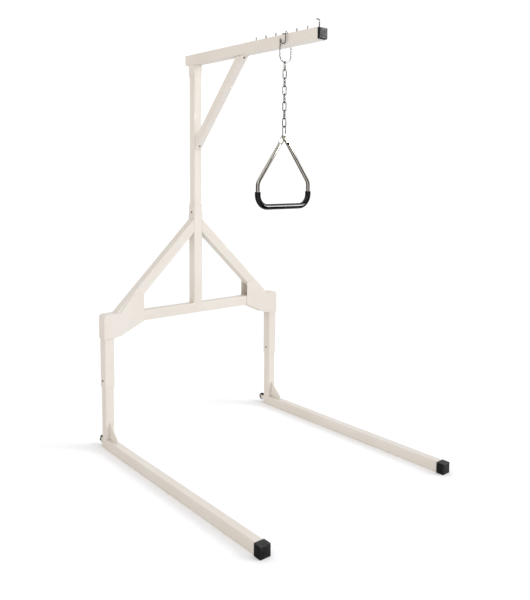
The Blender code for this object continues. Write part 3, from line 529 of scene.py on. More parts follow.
def add_piece(name, shape, material, body="stand", stands_for=()):
    """Makes a smooth-shaded piece of a shape and lets it ride on a body."""
    mesh = bpy.data.meshes.new(name)
    bmesh.ops.recalc_face_normals(shape, faces=shape.faces)
    shape.to_mesh(mesh)
    shape.free()
    mesh.materials.append(material)
    mesh.shade_smooth()
    mesh.set_sharp_from_angle(angle=SMOOTH_ANGLE)
    piece = placed(name, mesh)
    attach(piece, body)
    if stands_for:
        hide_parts(*stands_for)
    return piece


def finer(node, shape, material):
    """Makes the finer piece that stands for one CAD solid."""
    return add_piece(node + "_finish", shape, material, nodes[node]["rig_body"], (node,))


def refined(node, material, width=0.0):
    """A CAD solid with its flat faces whole, its edges rounded to a width and its curved faces smooth."""
    shape = bmesh.new()
    shape.from_mesh(nodes[node].data)
    bmesh.ops.remove_doubles(shape, verts=shape.verts, dist=WELD_DISTANCE)
    bmesh.ops.dissolve_limit(shape, angle_limit=FLAT_ANGLE, verts=shape.verts, edges=shape.edges)
    piece = finer(node, shape, material)
    if width:
        rounding = piece.modifiers.new("rounding", "BEVEL")
        rounding.width = width
        rounding.segments = ROUNDING_SEGMENTS
        rounding.limit_method = "ANGLE"
        rounding.angle_limit = ROUNDING_ANGLE
        rounding.miter_outer = "MITER_ARC"
    even = piece.modifiers.new("even", "WEIGHTED_NORMAL")
    even.keep_sharp = True
    even.weight = EVEN_WEIGHT


def frames_along(points, closed):
    """A direction and a crosswise pair at each point of a path, turning as little as it can."""
    count = len(points)
    rows = []
    across = None
    for index, point in enumerate(points):
        before = points[index - 1] if index or closed else point
        after = points[(index + 1) % count] if index < count - 1 or closed else point
        along = (after - before).normalized()
        if across is None:
            helper = AXIS_Z if abs(along.z) < STEEP else AXIS_X
            across = along.cross(helper).normalized()
        else:
            across = (across - along * across.dot(along)).normalized()
        rows.append((along, across, along.cross(across)))
    return rows


def bridge(shape, rings, closed=False):
    """Faces between each ring and the next, and between the last and the first if closed."""
    for ring, after in zip(rings, rings[1:] + rings[:1] if closed else rings[1:]):
        for index in range(len(ring)):
            beside = (index + 1) % len(ring)
            shape.faces.new((ring[index], ring[beside], after[beside], after[index]))


def capped(shape, rings):
    """Bridges the rings and closes both ends."""
    bridge(shape, rings)
    shape.faces.new(rings[0])
    shape.faces.new(rings[-1])


def swept(points, radii, sides, closed=False):
    """A round bar along a path. A closed one's last ring meets the nearest vertices of its first."""
    shape = bmesh.new()
    rings = []
    for point, radius, (_, across, other) in zip(points, radii, frames_along(points, closed)):
        ring = []
        for index in range(sides):
            angle = 2 * math.pi * index / sides
            spoke = across * math.cos(angle) + other * math.sin(angle)
            ring.append(shape.verts.new(point + spoke * radius))
        rings.append(ring)
    if closed:
        bridge(shape, rings)
        first, last = rings[0], rings[-1]
        shift = min(range(sides), key=lambda index: (last[0].co - first[index].co).length)
        bridge(shape, [last, first[shift:] + first[:shift]])
    else:
        capped(shape, rings)
    return shape


def domed(points, radius):
    """Rounds both tips of an open path. Returns its points and radii."""
    start = (points[0] - points[1]).normalized()
    finish = (points[-1] - points[-2]).normalized()
    heads, tails = [], []
    for step in range(DOME_STEPS):
        angle = math.radians(90) * (step + DOME_FIRST) / DOME_STEPS
        back = radius * DOME_LENGTH * (1 - math.sin(angle))
        heads.append((points[0] - start * back, radius * math.cos(angle)))
        tails.append((points[-1] - finish * back, radius * math.cos(angle)))
    inner = points[1:-1]
    path = [spot for spot, _ in heads[::-1]] + inner + [spot for spot, _ in tails]
    radii = [size for _, size in heads[::-1]] + [radius] * len(inner) + [size for _, size in tails]
    return path, radii


def arc_path(points, radii, steps):
    """A path of straight runs joined by arcs."""
    points = [Vector(point) for point in points]
    path = [points[0]]
    for index in range(1, len(points) - 1):
        point, radius = points[index], radii[index]
        back = (points[index - 1] - point).normalized()
        ahead = (points[index + 1] - point).normalized()
        half = back.angle(ahead) / 2
        centre = point + (back + ahead).normalized() * (radius / math.sin(half))
        start = point + back * (radius / math.tan(half)) - centre
        finish = point + ahead * (radius / math.tan(half)) - centre
        sweep = start.angle(finish)
        for step in range(steps + 1):
            share = step / steps
            low = math.sin((1 - share) * sweep) / math.sin(sweep)
            high = math.sin(share * sweep) / math.sin(sweep)
            path.append(centre + start * low + finish * high)
    path.append(points[-1])
    return path


def lathed(profile, origin, axis, segments, ring_shaped=False):
    """A turned solid of (distance along the axis, radius) pairs, ending on the axis or closed in a ring."""
    turn = AXIS_Z.rotation_difference(Vector(axis).normalized()).to_matrix()
    shape = bmesh.new()
    rings = []
    for distance, radius in profile:
        count = 1 if radius == 0 else segments
        ring = []
        for index in range(count):
            angle = 2 * math.pi * (index + 0.5) / segments
            spot = Vector((radius * math.cos(angle), radius * math.sin(angle), distance))
            ring.append(shape.verts.new(Vector(origin) + turn @ spot))
        rings.append(ring)
    for ring, after in zip(rings, rings[1:] + rings[:1] if ring_shaped else rings[1:]):
        for index in range(segments):
            beside = (index + 1) % segments
            corners = [ring[index % len(ring)], ring[beside % len(ring)]]
            corners += [after[beside % len(after)], after[index % len(after)]]
            shape.faces.new(list(dict.fromkeys(corners)))
    return shape


def middle(node):
    low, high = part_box(node)
    return (low + high) / 2


# Sizes that the finer pieces share with the solids they stand for

LEFT, RIGHT = -1, 1
SIDES = {"left": LEFT, "right": RIGHT}
POST_Y = middle("mast").y
HANG_Y = middle("handle").y
POST_X = 0.525
TOE_OUT = math.radians(0.86)
BIG_HALF = 0.0508 / 2
SMALL_HALF = 0.04445 / 2
SLIM_HALF = 0.0381 / 2
GAP = 0.0003
PIN_NODES = ["stop_pin_" + str(number) for number in range(1, 7)]


def side_matrix(side):
    """Takes a leg's own layout, with its post upright at the origin, to its place."""
    return Matrix.Translation((side * POST_X, POST_Y, 0)) @ Matrix.Rotation(side * TOE_OUT, 4, "Z")


# Chain

LINK_WIRE = 0.00225
LINK_BOW = 0.00775
LAST_LINK_BOW = 0.00975
LINK_COUNT = 8
CHAIN_TURN = Matrix.Rotation(math.radians(-22), 3, "Z")
WIRE_SIDES = 18
BOW_STEPS = 18
HALF_SIDE_STEPS = 4
BUTT_WELD = (0.00006, 0.00022, 0.00030, 0.00022, 0.00006)


def build_link(node, across, bow):
    """One oval link of bent wire, with the small swelling of its butt weld on one straight side."""
    low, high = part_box(node)
    centre = (low + high) / 2
    straight = (high - low).z / 2 - LINK_WIRE - bow
    points = []
    for sign in (1, -1):
        for step in range(BOW_STEPS + 1):
            angle = math.pi * step / BOW_STEPS
            spot = across * (sign * bow * math.cos(angle))
            points.append(centre + spot + AXIS_Z * (sign * (straight + bow * math.sin(angle))))
        for step in range(1, 2 * HALF_SIDE_STEPS):
            height = straight * (1 - step / HALF_SIDE_STEPS)
            points.append(centre - across * (sign * bow) + AXIS_Z * (sign * height))
    radii = [LINK_WIRE] * len(points)
    first_straight = BOW_STEPS + 1
    for index, swell in enumerate(BUTT_WELD, first_straight + 1):
        radii[index] += swell
    finer(node, swept(points, radii, WIRE_SIDES, True), STEEL)


for number in range(1, LINK_COUNT + 1):
    build_link("chain_link_" + str(number), CHAIN_TURN @ (AXIS_Y if number % 2 else AXIS_X), LINK_BOW)
build_link("connecting_link", AXIS_Y, LAST_LINK_BOW)


# Hanger bail and end hook, each one bent wire with rounded tips

BAIL_WIRE = 0.0024
BAIL_LEFT = 0.0293
BAIL_RIGHT = 0.0363
BAIL_BOW = 0.0285
BAIL_CORNER = 0.006
BAIL_LEFT_END = 0.018
BAIL_STEPS = 14
CATCH_FORWARD = 0.042
CATCH_DROP = 0.0455
CATCH_ROUND = 0.0135
CATCH_TAIL = 0.0125
CATCH_RISE = 0.020
CATCH_INSET = 0.010


def build_bail():
    """From its free left tip down, under and up to the arm's top, over it, and forward to the catch.

    The catch drops on the arm's left side and comes back to hold the left wire behind its upturned tip."""
    low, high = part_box("hanger_bail")
    bottom, top = low.z + BAIL_WIRE, high.z - BAIL_WIRE
    rear, front = HANG_Y, HANG_Y - CATCH_FORWARD
    outside = low.x + BAIL_WIRE
    inset = CATCH_INSET - BAIL_LEFT
    catch = top - CATCH_DROP
    tail = rear - CATCH_TAIL
    points = ((-BAIL_LEFT, rear, top - BAIL_LEFT_END), (-BAIL_LEFT, rear, bottom), (BAIL_RIGHT, rear, bottom),
              (BAIL_RIGHT, rear, top), (inset, rear, top), (inset, front, top), (outside, front, top),
              (outside, front, catch), (outside, tail, catch), (outside, tail, catch + CATCH_RISE))
    radii = (0, BAIL_BOW, BAIL_BOW, *(BAIL_CORNER,) * 4, CATCH_ROUND, CATCH_ROUND, 0)
    shape = swept(*domed(arc_path(points, radii, BAIL_STEPS), BAIL_WIRE), WIRE_SIDES)
    finer("hanger_bail", shape, STEEL)


HOOK_WIRE = 0.0026
HOOK_BEND = 0.006
HOOK_STEPS = 12
HOOK_FROM_END = 0.0145
HOOK_LEAN = Vector((-0.010, 0.0095, 0.0))
HOOK_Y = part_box("arm")[0].y + HOOK_FROM_END


def build_hook():
    """A straight rod out of the arm's top, with its tip bent over."""
    low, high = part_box("end_hook")
    foot = Vector((0.0, HOOK_Y, low.z))
    top = Vector((0.0, HOOK_Y, high.z - HOOK_WIRE))
    path = arc_path((foot, top, top + HOOK_LEAN), (0, HOOK_BEND, 0), HOOK_STEPS)
    shape = swept(*domed(path, HOOK_WIRE), WIRE_SIDES)
    finer("end_hook", shape, STEEL)


build_bail()
build_hook()


# Stop pins: turned studs with softened tips

PIN_RADIUS = 0.003
PIN_SIDES = 28
PIN_TIP = ((0.0010, 1.0), (0.0004, 0.90), (0.0001, 0.72), (0.0, 0.60), (0.0, 0.0))


def build_pin(node):
    """A stud. The tip's pairs are a distance below the top and a share of the radius."""
    low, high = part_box(node)
    centre = (low + high) / 2
    height = high.z - low.z
    profile = [(0, 0), (0, PIN_RADIUS)] + [(height - below, PIN_RADIUS * share) for below, share in PIN_TIP]
    shape = lathed(profile, (centre.x, centre.y, low.z), AXIS_Z, PIN_SIDES)
    finer(node, shape, STEEL)


for node in PIN_NODES:
    build_pin(node)


# Handle and grip

TUBE_RADIUS = 0.009
HANDLE_HALF_WIDTH = 0.1515
HANDLE_BEND = 0.206
HANDLE_BAR = 0.3137
BEND_RADIUS = 0.045
CORNER_RADIUS = 0.055
HOLE_RADIUS = 0.0048
CROSSING = 0.004
TAB_HALF_WIDTH = 0.0125
TAB_THICK = 0.0035
TAB_LENGTH = 0.030
TAB_TAPER = 0.016
TAB_BEYOND = 0.0075
TAB_ROUND = 0.005
FACETS = 44
TIP_STEPS = 8
TAB_STEPS = 4
TAPER_STEPS = 12
HANDLE_STEPS = 18
HOLE_SIDES = 40
CUTTER_HALF = 0.0254
GRIP_RADIUS = 0.0129
GRIP_LIP = 0.0134
GRIP_UP = 0.067
GRIP_STEPS = 22
LIP_FORM = ((0.0, -0.0014), (0.0003, -0.0006), (0.0009, -0.0001), (0.0016, 0.0), (0.0042, 0.0),
            (0.0052, -0.0001), (0.0062, -0.0003), (0.0072, -0.0005))
APEX = Vector((0.0, HANG_Y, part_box("handle")[0].z + TUBE_RADIUS + HANDLE_BAR))
SLANT = math.atan2(HANDLE_HALF_WIDTH, HANDLE_BEND)


def handle_point(side, across, below):
    """A point of the handle's plane, on one side of the apex and below it."""
    return APEX + AXIS_X * (side * across) - AXIS_Z * below


def shoulder_point(side, along):
    """A point of one slanting side, at a distance from where the sides cross."""
    return handle_point(side, along * math.sin(SLANT), along * math.cos(SLANT))


def pressed_outline(half_width, half_thick):
    """Outline of a tube pressed flat: the width lies in the plane of the handle."""
    outline = []
    for index in range(FACETS):
        angle = 2 * math.pi * (index + 0.5) / FACETS
        straight = half_width - half_thick
        outline.append((math.copysign(straight, math.cos(angle)) + half_thick * math.cos(angle),
                        half_thick * math.sin(angle)))
    return outline


def partly_pressed(share, narrowing=0.0):
    """Outline of the handle tube between round and fully flat, narrower near the rounded end."""
    round_outline = pressed_outline(TUBE_RADIUS, TUBE_RADIUS)
    flat_outline = pressed_outline(TAB_HALF_WIDTH - narrowing, TAB_THICK / 2)
    return [(round_u + (flat_u - round_u) * share, round_v + (flat_v - round_v) * share)
            for (round_u, round_v), (flat_u, flat_v) in zip(round_outline, flat_outline)]


def tab_stations(side):
    """Stations from the rounded end of a flattened end to where the tube is nearly round again."""
    shift = side * -(TAB_THICK + GAP) / 2
    rows = []
    for step in range(TIP_STEPS + 1):
        angle = math.radians(90) * step / TIP_STEPS
        from_end = TAB_ROUND * (1 - math.cos(angle))
        rows.append((from_end - TAB_BEYOND, 1.0, TAB_ROUND * (1 - math.sin(angle))))
    rows += [(TAB_LENGTH * step / TAB_STEPS, 1.0, 0.0) for step in range(1, TAB_STEPS + 1)]
    for step in range(1, TAPER_STEPS):
        ease = (1 + math.cos(math.pi * step / TAPER_STEPS)) / 2
        rows.append((TAB_LENGTH + TAB_TAPER * step / TAPER_STEPS, ease, 0.0))
    return [(shoulder_point(side, along) + AXIS_Y * shift * share, partly_pressed(share, narrowing))
            for along, share, narrowing in rows]


def planar_rings(shape, stations):
    """Rings of vertices for outlines along a path in the handle's plane."""
    rings = []
    for index, (centre, outline) in enumerate(stations):
        before = stations[max(index - 1, 0)][0]
        after = stations[min(index + 1, len(stations) - 1)][0]
        along = Vector((after.x - before.x, 0, after.z - before.z)).normalized()
        across = AXIS_Y.cross(along)
        rings.append([shape.verts.new(centre + across * u + AXIS_Y * v) for u, v in outline])
    return rings


def build_handle():
    """One bent tube whose flattened, rounded ends cross and share a hole."""
    left, right = [
        [shoulder_point(side, TAB_LENGTH + TAB_TAPER), handle_point(side, HANDLE_HALF_WIDTH, HANDLE_BEND),
         handle_point(side, HANDLE_HALF_WIDTH, HANDLE_BAR)] for side in (LEFT, RIGHT)]
    radii = (0, BEND_RADIUS, CORNER_RADIUS)
    centreline = arc_path(left + right[::-1], radii + radii[::-1], HANDLE_STEPS)
    stations = tab_stations(LEFT) + [(point, partly_pressed(0.0)) for point in centreline]
    stations += tab_stations(RIGHT)[::-1]
    shape = bmesh.new()
    capped(shape, planar_rings(shape, stations))
    piece = finer("handle", shape, CHROME)
    pierce(piece, APEX - AXIS_Z * CROSSING, HOLE_RADIUS)


def pierce(piece, centre, radius):
    """Cuts a round hole along Y through a piece, and leaves no cutter or modifier behind."""
    profile = ((-CUTTER_HALF, 0), (-CUTTER_HALF, radius), (CUTTER_HALF, radius), (CUTTER_HALF, 0))
    shape = lathed(profile, centre, AXIS_Y, HOLE_SIDES)
    bmesh.ops.recalc_face_normals(shape, faces=shape.faces)
    mesh = bpy.data.meshes.new("hole")
    shape.to_mesh(mesh)
    shape.free()
    cutter = placed("hole", mesh)
    cut = piece.modifiers.new("hole", "BOOLEAN")
    cut.operation = "DIFFERENCE"
    cut.solver = "EXACT"
    cut.object = cutter
    bpy.context.view_layer.update()
    evaluated = piece.evaluated_get(bpy.context.evaluated_depsgraph_get())
    finished = bpy.data.meshes.new_from_object(evaluated)
    piece.modifiers.clear()
    piece.data = finished
    bpy.data.objects.remove(cutter, do_unlink=True)
    finished.shade_smooth()
    finished.set_sharp_from_angle(angle=SMOOTH_ANGLE)


def build_grip():
    """The moulded sleeve over the bottom bar, with a slightly thicker rounded lip at each end."""
    corners = [handle_point(side, HANDLE_HALF_WIDTH, HANDLE_BAR) for side in (LEFT, RIGHT)]
    rise = AXIS_Z * GRIP_UP
    points = (corners[0] + rise, *corners, corners[1] + rise)
    path = arc_path(points, (0, CORNER_RADIUS, CORNER_RADIUS, 0), GRIP_STEPS)
    ends = [[(path[end] - AXIS_Z * back, GRIP_LIP + change) for back, change in LIP_FORM] for end in (0, -1)]
    places = ends[0] + [(point, GRIP_RADIUS) for point in path[1:-1]] + ends[1][::-1]
    shape = bmesh.new()
    outer = planar_rings(shape, [(spot, pressed_outline(radius, radius)) for spot, radius in places])
    bore = pressed_outline(TUBE_RADIUS + GAP, TUBE_RADIUS + GAP)
    inner = planar_rings(shape, [(spot, bore) for spot, _ in places])
    bridge(shape, outer + inner[::-1], True)
    finer("handle_grip", shape, VINYL)


build_handle()
build_grip()


# Tilting wheels: a rubber tyre on a pale hub, turning on a domed rivet. The profiles are pairs of a
# distance along the axle and a radius.

WHEEL_BACK = 0.062
WHEEL_HEIGHT = 0.030
TYRE = ((-0.0086, 0.0112), (-0.0089, 0.0125), (-0.0086, 0.0150), (-0.0078, 0.0168), (-0.0064, 0.0180),
        (-0.0044, 0.0187), (-0.0020, 0.0190), (0.0020, 0.0190), (0.0044, 0.0187), (0.0064, 0.0180),
        (0.0078, 0.0168), (0.0086, 0.0150), (0.0089, 0.0125), (0.0086, 0.0112), (0.0070, 0.0108),
        (-0.0070, 0.0108))
HUB = ((-0.0090, 0.00408), (-0.0090, 0.0068), (-0.0086, 0.0074), (-0.0074, 0.0078), (-0.0074, 0.0098),
       (-0.0080, 0.0106), (-0.0078, 0.0112), (0.0078, 0.0112), (0.0080, 0.0106), (0.0074, 0.0098),
       (0.0074, 0.0078), (0.0086, 0.0074), (0.0090, 0.0068), (0.0090, 0.00408))
RIVET_SIDE = ((0.0128, 0.0040), (0.0128, 0.0068), (0.0131, 0.0070), (0.0142, 0.0066), (0.0151, 0.0054),
              (0.0156, 0.0036), (0.0158, 0.0018), (0.0158, 0.0))
RIVET = tuple((-along, radius) for along, radius in RIVET_SIDE[::-1]) + RIVET_SIDE
TYRE_SIDES, HUB_SIDES, RIVET_SIDES = 56, 48, 32


def build_wheel(name, side):
    matrix = side_matrix(side)
    origin = matrix @ Vector((0, WHEEL_BACK, WHEEL_HEIGHT))
    axis = matrix.to_3x3() @ AXIS_X
    node = name + "_wheel"
    tyre = lathed(TYRE, origin, axis, TYRE_SIDES, True)
    add_piece(node + "_tyre", tyre, RUBBER, node, (node,))
    add_piece(node + "_hub", lathed(HUB, origin, axis, HUB_SIDES, True), NYLON, node)
    rivet = lathed(RIVET, origin, axis, RIVET_SIDES)
    add_piece(node + "_rivet", rivet, STEEL, "stand", (node + "_axle",))


for name, side in SIDES.items():
    build_wheel(name, side)


# Rubber boots and the arm's end plug, moulded with soft edges

CORNER_STEPS = 6
FILLET_STEPS = 5
LEAST_CORNER = 0.0004


def rounded_loop(shape, centre, axes, half, corner):
    """A rounded rectangle of vertices round a centre."""
    ring = []
    for sign_u, sign_v, start in ((1, 1, 0), (-1, 1, 90), (-1, -1, 180), (1, -1, 270)):
        for step in range(CORNER_STEPS + 1):
            angle = math.radians(start + 90 * step / CORNER_STEPS)
            u = sign_u * (half[0] - corner) + corner * math.cos(angle)
            v = sign_v * (half[1] - corner) + corner * math.sin(angle)
            ring.append(shape.verts.new(centre + axes[0] * u + axes[1] * v))
    return ring


def moulded(origin, axes, sections):
    """A solid of rounded rectangles: (distance along the third axis, half sizes, corner radius)."""
    shape = bmesh.new()
    along = axes[2]
    rings = [rounded_loop(shape, origin + along * distance, axes, half, corner)
             for distance, half, corner in sections]
    capped(shape, rings)
    return shape


def soft_end(distance, half, corner, fillet, sign):
    """Sections that round the rim of one end; sign says which way the end faces."""
    rows = []
    for step in range(FILLET_STEPS + 1):
        angle = math.radians(90) * step / FILLET_STEPS
        inset = fillet * (1 - math.sin(angle))
        back = fillet * (1 - math.cos(angle))
        narrowed = (half[0] - inset, half[1] - inset)
        rows.append((distance - sign * back, narrowed, max(corner - inset, LEAST_CORNER)))
    return rows


LEG_REACH = 1.204
BOOT_HALF = (0.02475, 0.0254)
BOOT_LENGTH = 0.0385
BOOT_ROUND = 0.003
BOOT_FRONT_FILLET = 0.0022
BOOT_REAR_FILLET = 0.0012
GROOVE_FROM_TUBE = 0.0045
GROOVE_DEPTH = 0.0007
GROOVE_SLOPE = 0.0006


def build_boot(name, side):
    """A square rubber foot with a shallow groove round it near the tube."""
    matrix = side_matrix(side)
    turn = matrix.to_3x3()
    origin = matrix @ Vector((0, -LEG_REACH - GAP - BOOT_LENGTH, BOOT_HALF[1]))
    axes = (turn @ AXIS_X, AXIS_Z, turn @ AXIS_Y)
    groove = BOOT_LENGTH - GROOVE_FROM_TUBE
    narrow = (BOOT_HALF[0] - GROOVE_DEPTH, BOOT_HALF[1] - GROOVE_DEPTH)
    sections = soft_end(0.0, BOOT_HALF, BOOT_ROUND, BOOT_FRONT_FILLET, -1)
    sections += [(groove + slopes * GROOVE_SLOPE, half, BOOT_ROUND)
                 for slopes, half in ((-2, BOOT_HALF), (-1, narrow), (0, narrow), (1, BOOT_HALF))]
    sections += soft_end(BOOT_LENGTH, BOOT_HALF, BOOT_ROUND, BOOT_REAR_FILLET, 1)[::-1]
    finer(name + "_leg_boot", moulded(origin, axes, sections), RUBBER)


for name, side in SIDES.items():
    build_boot(name, side)

PLUG_HALF = 0.0238
PLUG_HEAD = 0.012
PLUG_LAP = 0.0004
PLUG_STRAIGHT = 0.0030
PLUG_DRAFT = 0.0010
PLUG_CORNER = 0.0034
PLUG_FACE_CORNER = 0.0036
PLUG_FILLET = 0.0022


def build_end_plug():
    """The plug's head: straight at the tube, then drawn in to a flat, softly rounded face."""
    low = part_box("arm_end_plug")[0]
    origin = Vector((0.0, low.y, middle("arm").z))
    axes = (AXIS_X, AXIS_Z, AXIS_Y)
    face = (PLUG_HALF - PLUG_DRAFT, PLUG_HALF - PLUG_DRAFT)
    sections = soft_end(0.0, face, PLUG_FACE_CORNER, PLUG_FILLET, -1)
    sections += [(distance, (PLUG_HALF, PLUG_HALF), PLUG_CORNER)
                 for distance in (PLUG_HEAD - PLUG_STRAIGHT, PLUG_HEAD, PLUG_HEAD + PLUG_LAP)]
    finer("arm_end_plug", moulded(origin, axes, sections), PLASTIC)


build_end_plug()


# Welds, as rippled beads

BEAD = 0.0020
BEAD_SIDES = 8
BEAD_TIP = 0.45
BEAD_GROWTH = 1.1
RIPPLE_PITCH = 0.0027
RIPPLE_STEPS = 4
RIPPLE_DEPTH = 0.13
RIPPLE_MEAN = 0.6
FOOT_FORM = ((0, 0.0012), (0.0004, 0.0011), (0.0009, 0.0007), (0.0014, 0.0002))
FOOT_RISE = 0.0015
FOOT_SIDES = 24


def bead_path(start, finish, radius):
    """Points and radii of one rippled bead with tapered ends."""
    run = finish - start
    count = max(2, round(run.length / RIPPLE_PITCH)) * RIPPLE_STEPS
    points, radii = [], []
    for index in range(count + 1):
        share = index / count
        ripple = 1 + RIPPLE_DEPTH * (abs(math.sin(math.pi * index / RIPPLE_STEPS)) - RIPPLE_MEAN)
        end = min(1.0, BEAD_TIP + BEAD_GROWTH * min(index, count - index) / RIPPLE_STEPS)
        points.append(start + run * share)
        radii.append(radius * ripple * end)
    return points, radii


def weld(name, runs, radius, matrix=Matrix.Identity(4)):
    """Beads along straight runs, given in the matrix's own layout, joined into one piece."""
    shape = bmesh.new()
    for start, finish in runs:
        part = swept(*bead_path(matrix @ Vector(start), matrix @ Vector(finish), radius), BEAD_SIDES)
        mesh = bpy.data.meshes.new("bead")
        part.to_mesh(mesh)
        part.free()
        shape.from_mesh(mesh)
        bpy.data.meshes.remove(mesh)
    add_piece(name, shape, WELD)


def foot_weld(name, place, radius):
    """The small bead round the foot of a rod."""
    profile = [(0, 0)] + [(rise, radius + spread) for rise, spread in FOOT_FORM] + [(FOOT_RISE, 0)]
    add_piece(name, lathed(profile, place, AXIS_Z, FOOT_SIDES), WELD)


def along_x(y, z, reach):
    return (-reach, y, z), (reach, y, z)


def along_y(x, z, reach):
    return (x, -reach, z), (x, reach, z)


def upright(x, y, low, high):
    return (x, y, low), (x, y, high)


FINE_BEAD = 0.0017
THIN_BEAD = 0.0012
LEG_TOP = 0.0508
LEG_REAR = 0.0254
POST_RUN = 0.018
LEG_RUN = 0.020
LEG_EDGE_DROP = 0.0006
BRACKET_EDGE_INSET = 0.0004
BRACKET_RUN = (0.004, 0.047)
GUSSET_HALF = 0.0025
GUSSET_TOE = 0.0985
GUSSET_RISE = 0.138
GUSSET_TIP = 0.001
GUSSET_ROOT = 0.002
GUSSET_END = 0.003


def leg_welds(name, side):
    """Round the post's foot, along the leg's gusset and down the wheel bracket, in the leg's own layout."""
    matrix = side_matrix(side)
    post, gusset, bracket = [], [], []
    for sign in (-1, 1):
        face, edge = sign * GUSSET_HALF, sign * (SLIM_HALF - BRACKET_EDGE_INSET)
        post.append(along_x(sign * (SMALL_HALF + GAP), LEG_TOP, POST_RUN))
        post.append(along_y(sign * SLIM_HALF, LEG_TOP - LEG_EDGE_DROP, LEG_RUN))
        gusset.append(((face, GUSSET_TIP - GUSSET_TOE, LEG_TOP), (face, -SMALL_HALF - GUSSET_ROOT, LEG_TOP)))
        gusset.append(upright(face, -SMALL_HALF, LEG_TOP + GUSSET_END, GUSSET_RISE - GUSSET_END))
        bracket.append(upright(edge, LEG_REAR, *BRACKET_RUN))
    weld(name + "_post_weld", post, BEAD, matrix)
    weld(name + "_leg_gusset_weld", gusset, FINE_BEAD, matrix)
    weld(name + "_bracket_weld", bracket, THIN_BEAD, matrix)


for name, side in SIDES.items():
    leg_welds(name, side)

CORNER_BEAD = 0.0018
ACROSS = 0.024
ROUNDED_EDGE = BIG_HALF - 0.0008
RUN_INSET = 0.002
CROSSBAR_HEIGHT = middle("crossbar").z
CROSSBAR_TOP = CROSSBAR_HEIGHT + BIG_HALF
CROSSBAR_UNDERSIDE = CROSSBAR_HEIGHT - BIG_HALF
DIAGONAL_ANGLE = math.radians(44.34)
DIAGONAL_TOP = CROSSBAR_HEIGHT + 0.5028
DIAGONAL_LOW = DIAGONAL_TOP - 2 * BIG_HALF / math.cos(DIAGONAL_ANGLE)
FOOT_X = (DIAGONAL_LOW - CROSSBAR_TOP) / math.tan(DIAGONAL_ANGLE)
PLATE_FACE = BIG_HALF + GAP
PLATE_INNER_X = POST_X - 0.193
PLATE_INNER_TOP = CROSSBAR_HEIGHT + 0.1056
PLATE_PEAK_X = POST_X - 0.136
PLATE_PEAK = CROSSBAR_HEIGHT + 0.1185
PLATE_LOW = CROSSBAR_HEIGHT - 0.0924
SLEEVE_INNER_X = POST_X - BIG_HALF
SLEEVE_OUTER_X = POST_X + BIG_HALF
SLEEVE_INSET = 0.001


def frame_welds():
    """Where the centre post, the diagonals and the corner gussets meet the crossbar and the sleeves."""
    place = Matrix.Translation((0, POST_Y, 0))
    runs = []
    for sign in (-1, 1):
        runs.append(along_x(sign * ROUNDED_EDGE, CROSSBAR_TOP, ACROSS))
        runs.append(along_y(sign * BIG_HALF, CROSSBAR_TOP, ACROSS))
    weld("centre_post_weld", runs, BEAD, place)
    for name, side in SIDES.items():
        face = side * BIG_HALF
        runs = [along_y(x, z, ACROSS)
                for x, z in ((face, DIAGONAL_TOP), (face, DIAGONAL_LOW), (side * FOOT_X, CROSSBAR_TOP))]
        runs += [upright(face, y, DIAGONAL_LOW + RUN_INSET, DIAGONAL_TOP - RUN_INSET)
                 for y in (-ROUNDED_EDGE, ROUNDED_EDGE)]
        weld(name + "_diagonal_weld", runs, BEAD, place)
        runs = []
        inner = side * PLATE_INNER_X
        for depth in (-PLATE_FACE, PLATE_FACE):
            runs.append(upright(inner, depth, CROSSBAR_UNDERSIDE + RUN_INSET, CROSSBAR_TOP - RUN_INSET))
            runs.append(((inner, depth, PLATE_INNER_TOP), (side * PLATE_PEAK_X, depth, PLATE_PEAK)))
            runs.append(((side * (SLEEVE_INNER_X + SLEEVE_INSET), depth, PLATE_LOW),
                         (side * SLEEVE_OUTER_X, depth, PLATE_LOW)))
        runs.append(along_y(side * SLEEVE_INNER_X, CROSSBAR_UNDERSIDE, ACROSS))
        weld(name + "_corner_gusset_weld", runs, CORNER_BEAD, place)


BRACE_BEAD = 0.0014
BRACE_SEAT = 0.0036
BRACE_INSET = 0.0004
BRACE_RUN_INSET = 0.003
ARM_UNDERSIDE = middle("arm").z - BIG_HALF


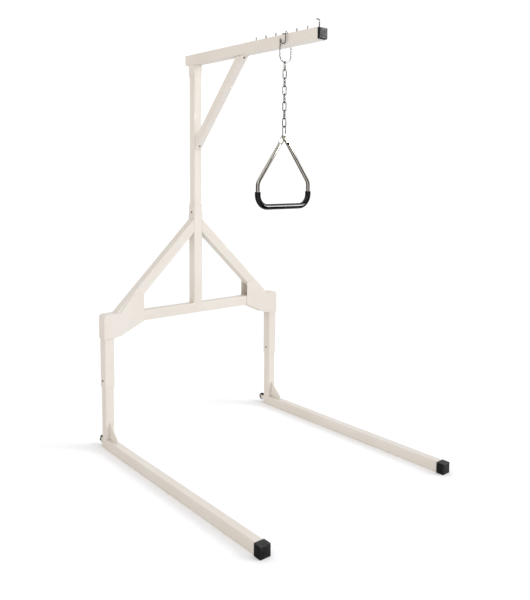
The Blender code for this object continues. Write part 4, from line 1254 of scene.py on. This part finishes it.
def arm_welds():
    """Under the arm, at both ends of its brace, and round the feet of the pins and the hook."""
    runs = []
    for sign in (-1, 1):
        runs.append(along_x(sign * BIG_HALF, ARM_UNDERSIDE, ACROSS))
        runs.append(along_y(sign * ROUNDED_EDGE, ARM_UNDERSIDE, ACROSS))
    weld("arm_socket_weld", runs, BEAD, Matrix.Translation((0, POST_Y, 0)))
    faces = [sign * (SLIM_HALF - BRACE_INSET) for sign in (-1, 1)]
    seat = ARM_UNDERSIDE - BRACE_SEAT
    low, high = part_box("upper_brace_plate")
    runs = [((x, low.y + BRACE_RUN_INSET, seat), (x, high.y - BRACE_RUN_INSET, seat)) for x in faces]
    weld("upper_brace_plate_weld", runs, BRACE_BEAD)
    low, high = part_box("lower_brace_plate")
    runs = [upright(x, low.y, low.z + BRACE_RUN_INSET, high.z - BRACE_RUN_INSET) for x in faces]
    weld("lower_brace_plate_weld", runs, BRACE_BEAD)
    for number, node in enumerate(PIN_NODES, 1):
        centre, foot = middle(node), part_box(node)[0].z - GAP
        foot_weld("stop_pin_weld_" + str(number), (centre.x, centre.y, foot), PIN_RADIUS)
    foot_weld("end_hook_weld", (0.0, HOOK_Y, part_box("end_hook")[0].z - GAP), HOOK_WIRE)


frame_welds()
arm_welds()


# Solids that keep their CAD form get whole faces and a material. The coated ones' edges are rounded to
# the width given here.

COATED = (
    (0.0005, "left_leg right_leg left_post right_post"),
    (0.0009, "left_leg_gusset right_leg_gusset"),
    (0.0006, "left_wheel_bracket right_wheel_bracket"),
    (0.0005, "left_sleeve right_sleeve crossbar centre_post left_diagonal right_diagonal"),
    (0.0010, "left_corner_gusset right_corner_gusset"),
    (0.0005, "mast arm_socket arm"),
    (0.0008, "arm_rear_cap"),
    (0.0005, "brace"),
    (0.0004, "upper_brace_plate lower_brace_plate"),
)
PLATED = ("left_post_button_outer left_post_button_inner right_post_button_outer right_post_button_inner "
          "mast_button_left mast_button_right")

for width, group in COATED:
    for node in group.split():
        refined(node, COAT, width)
for node in PLATED.split():
    refined(node, STEEL)
# The brace bolts get steel painted nearly black: painted shade for their heads, which sit in shade.
for node in ("upper_brace_bolt", "lower_brace_bolt"):
    refined(node, SHADED_BOLT_STEEL)

build_camera()
build_light()
build_floor()
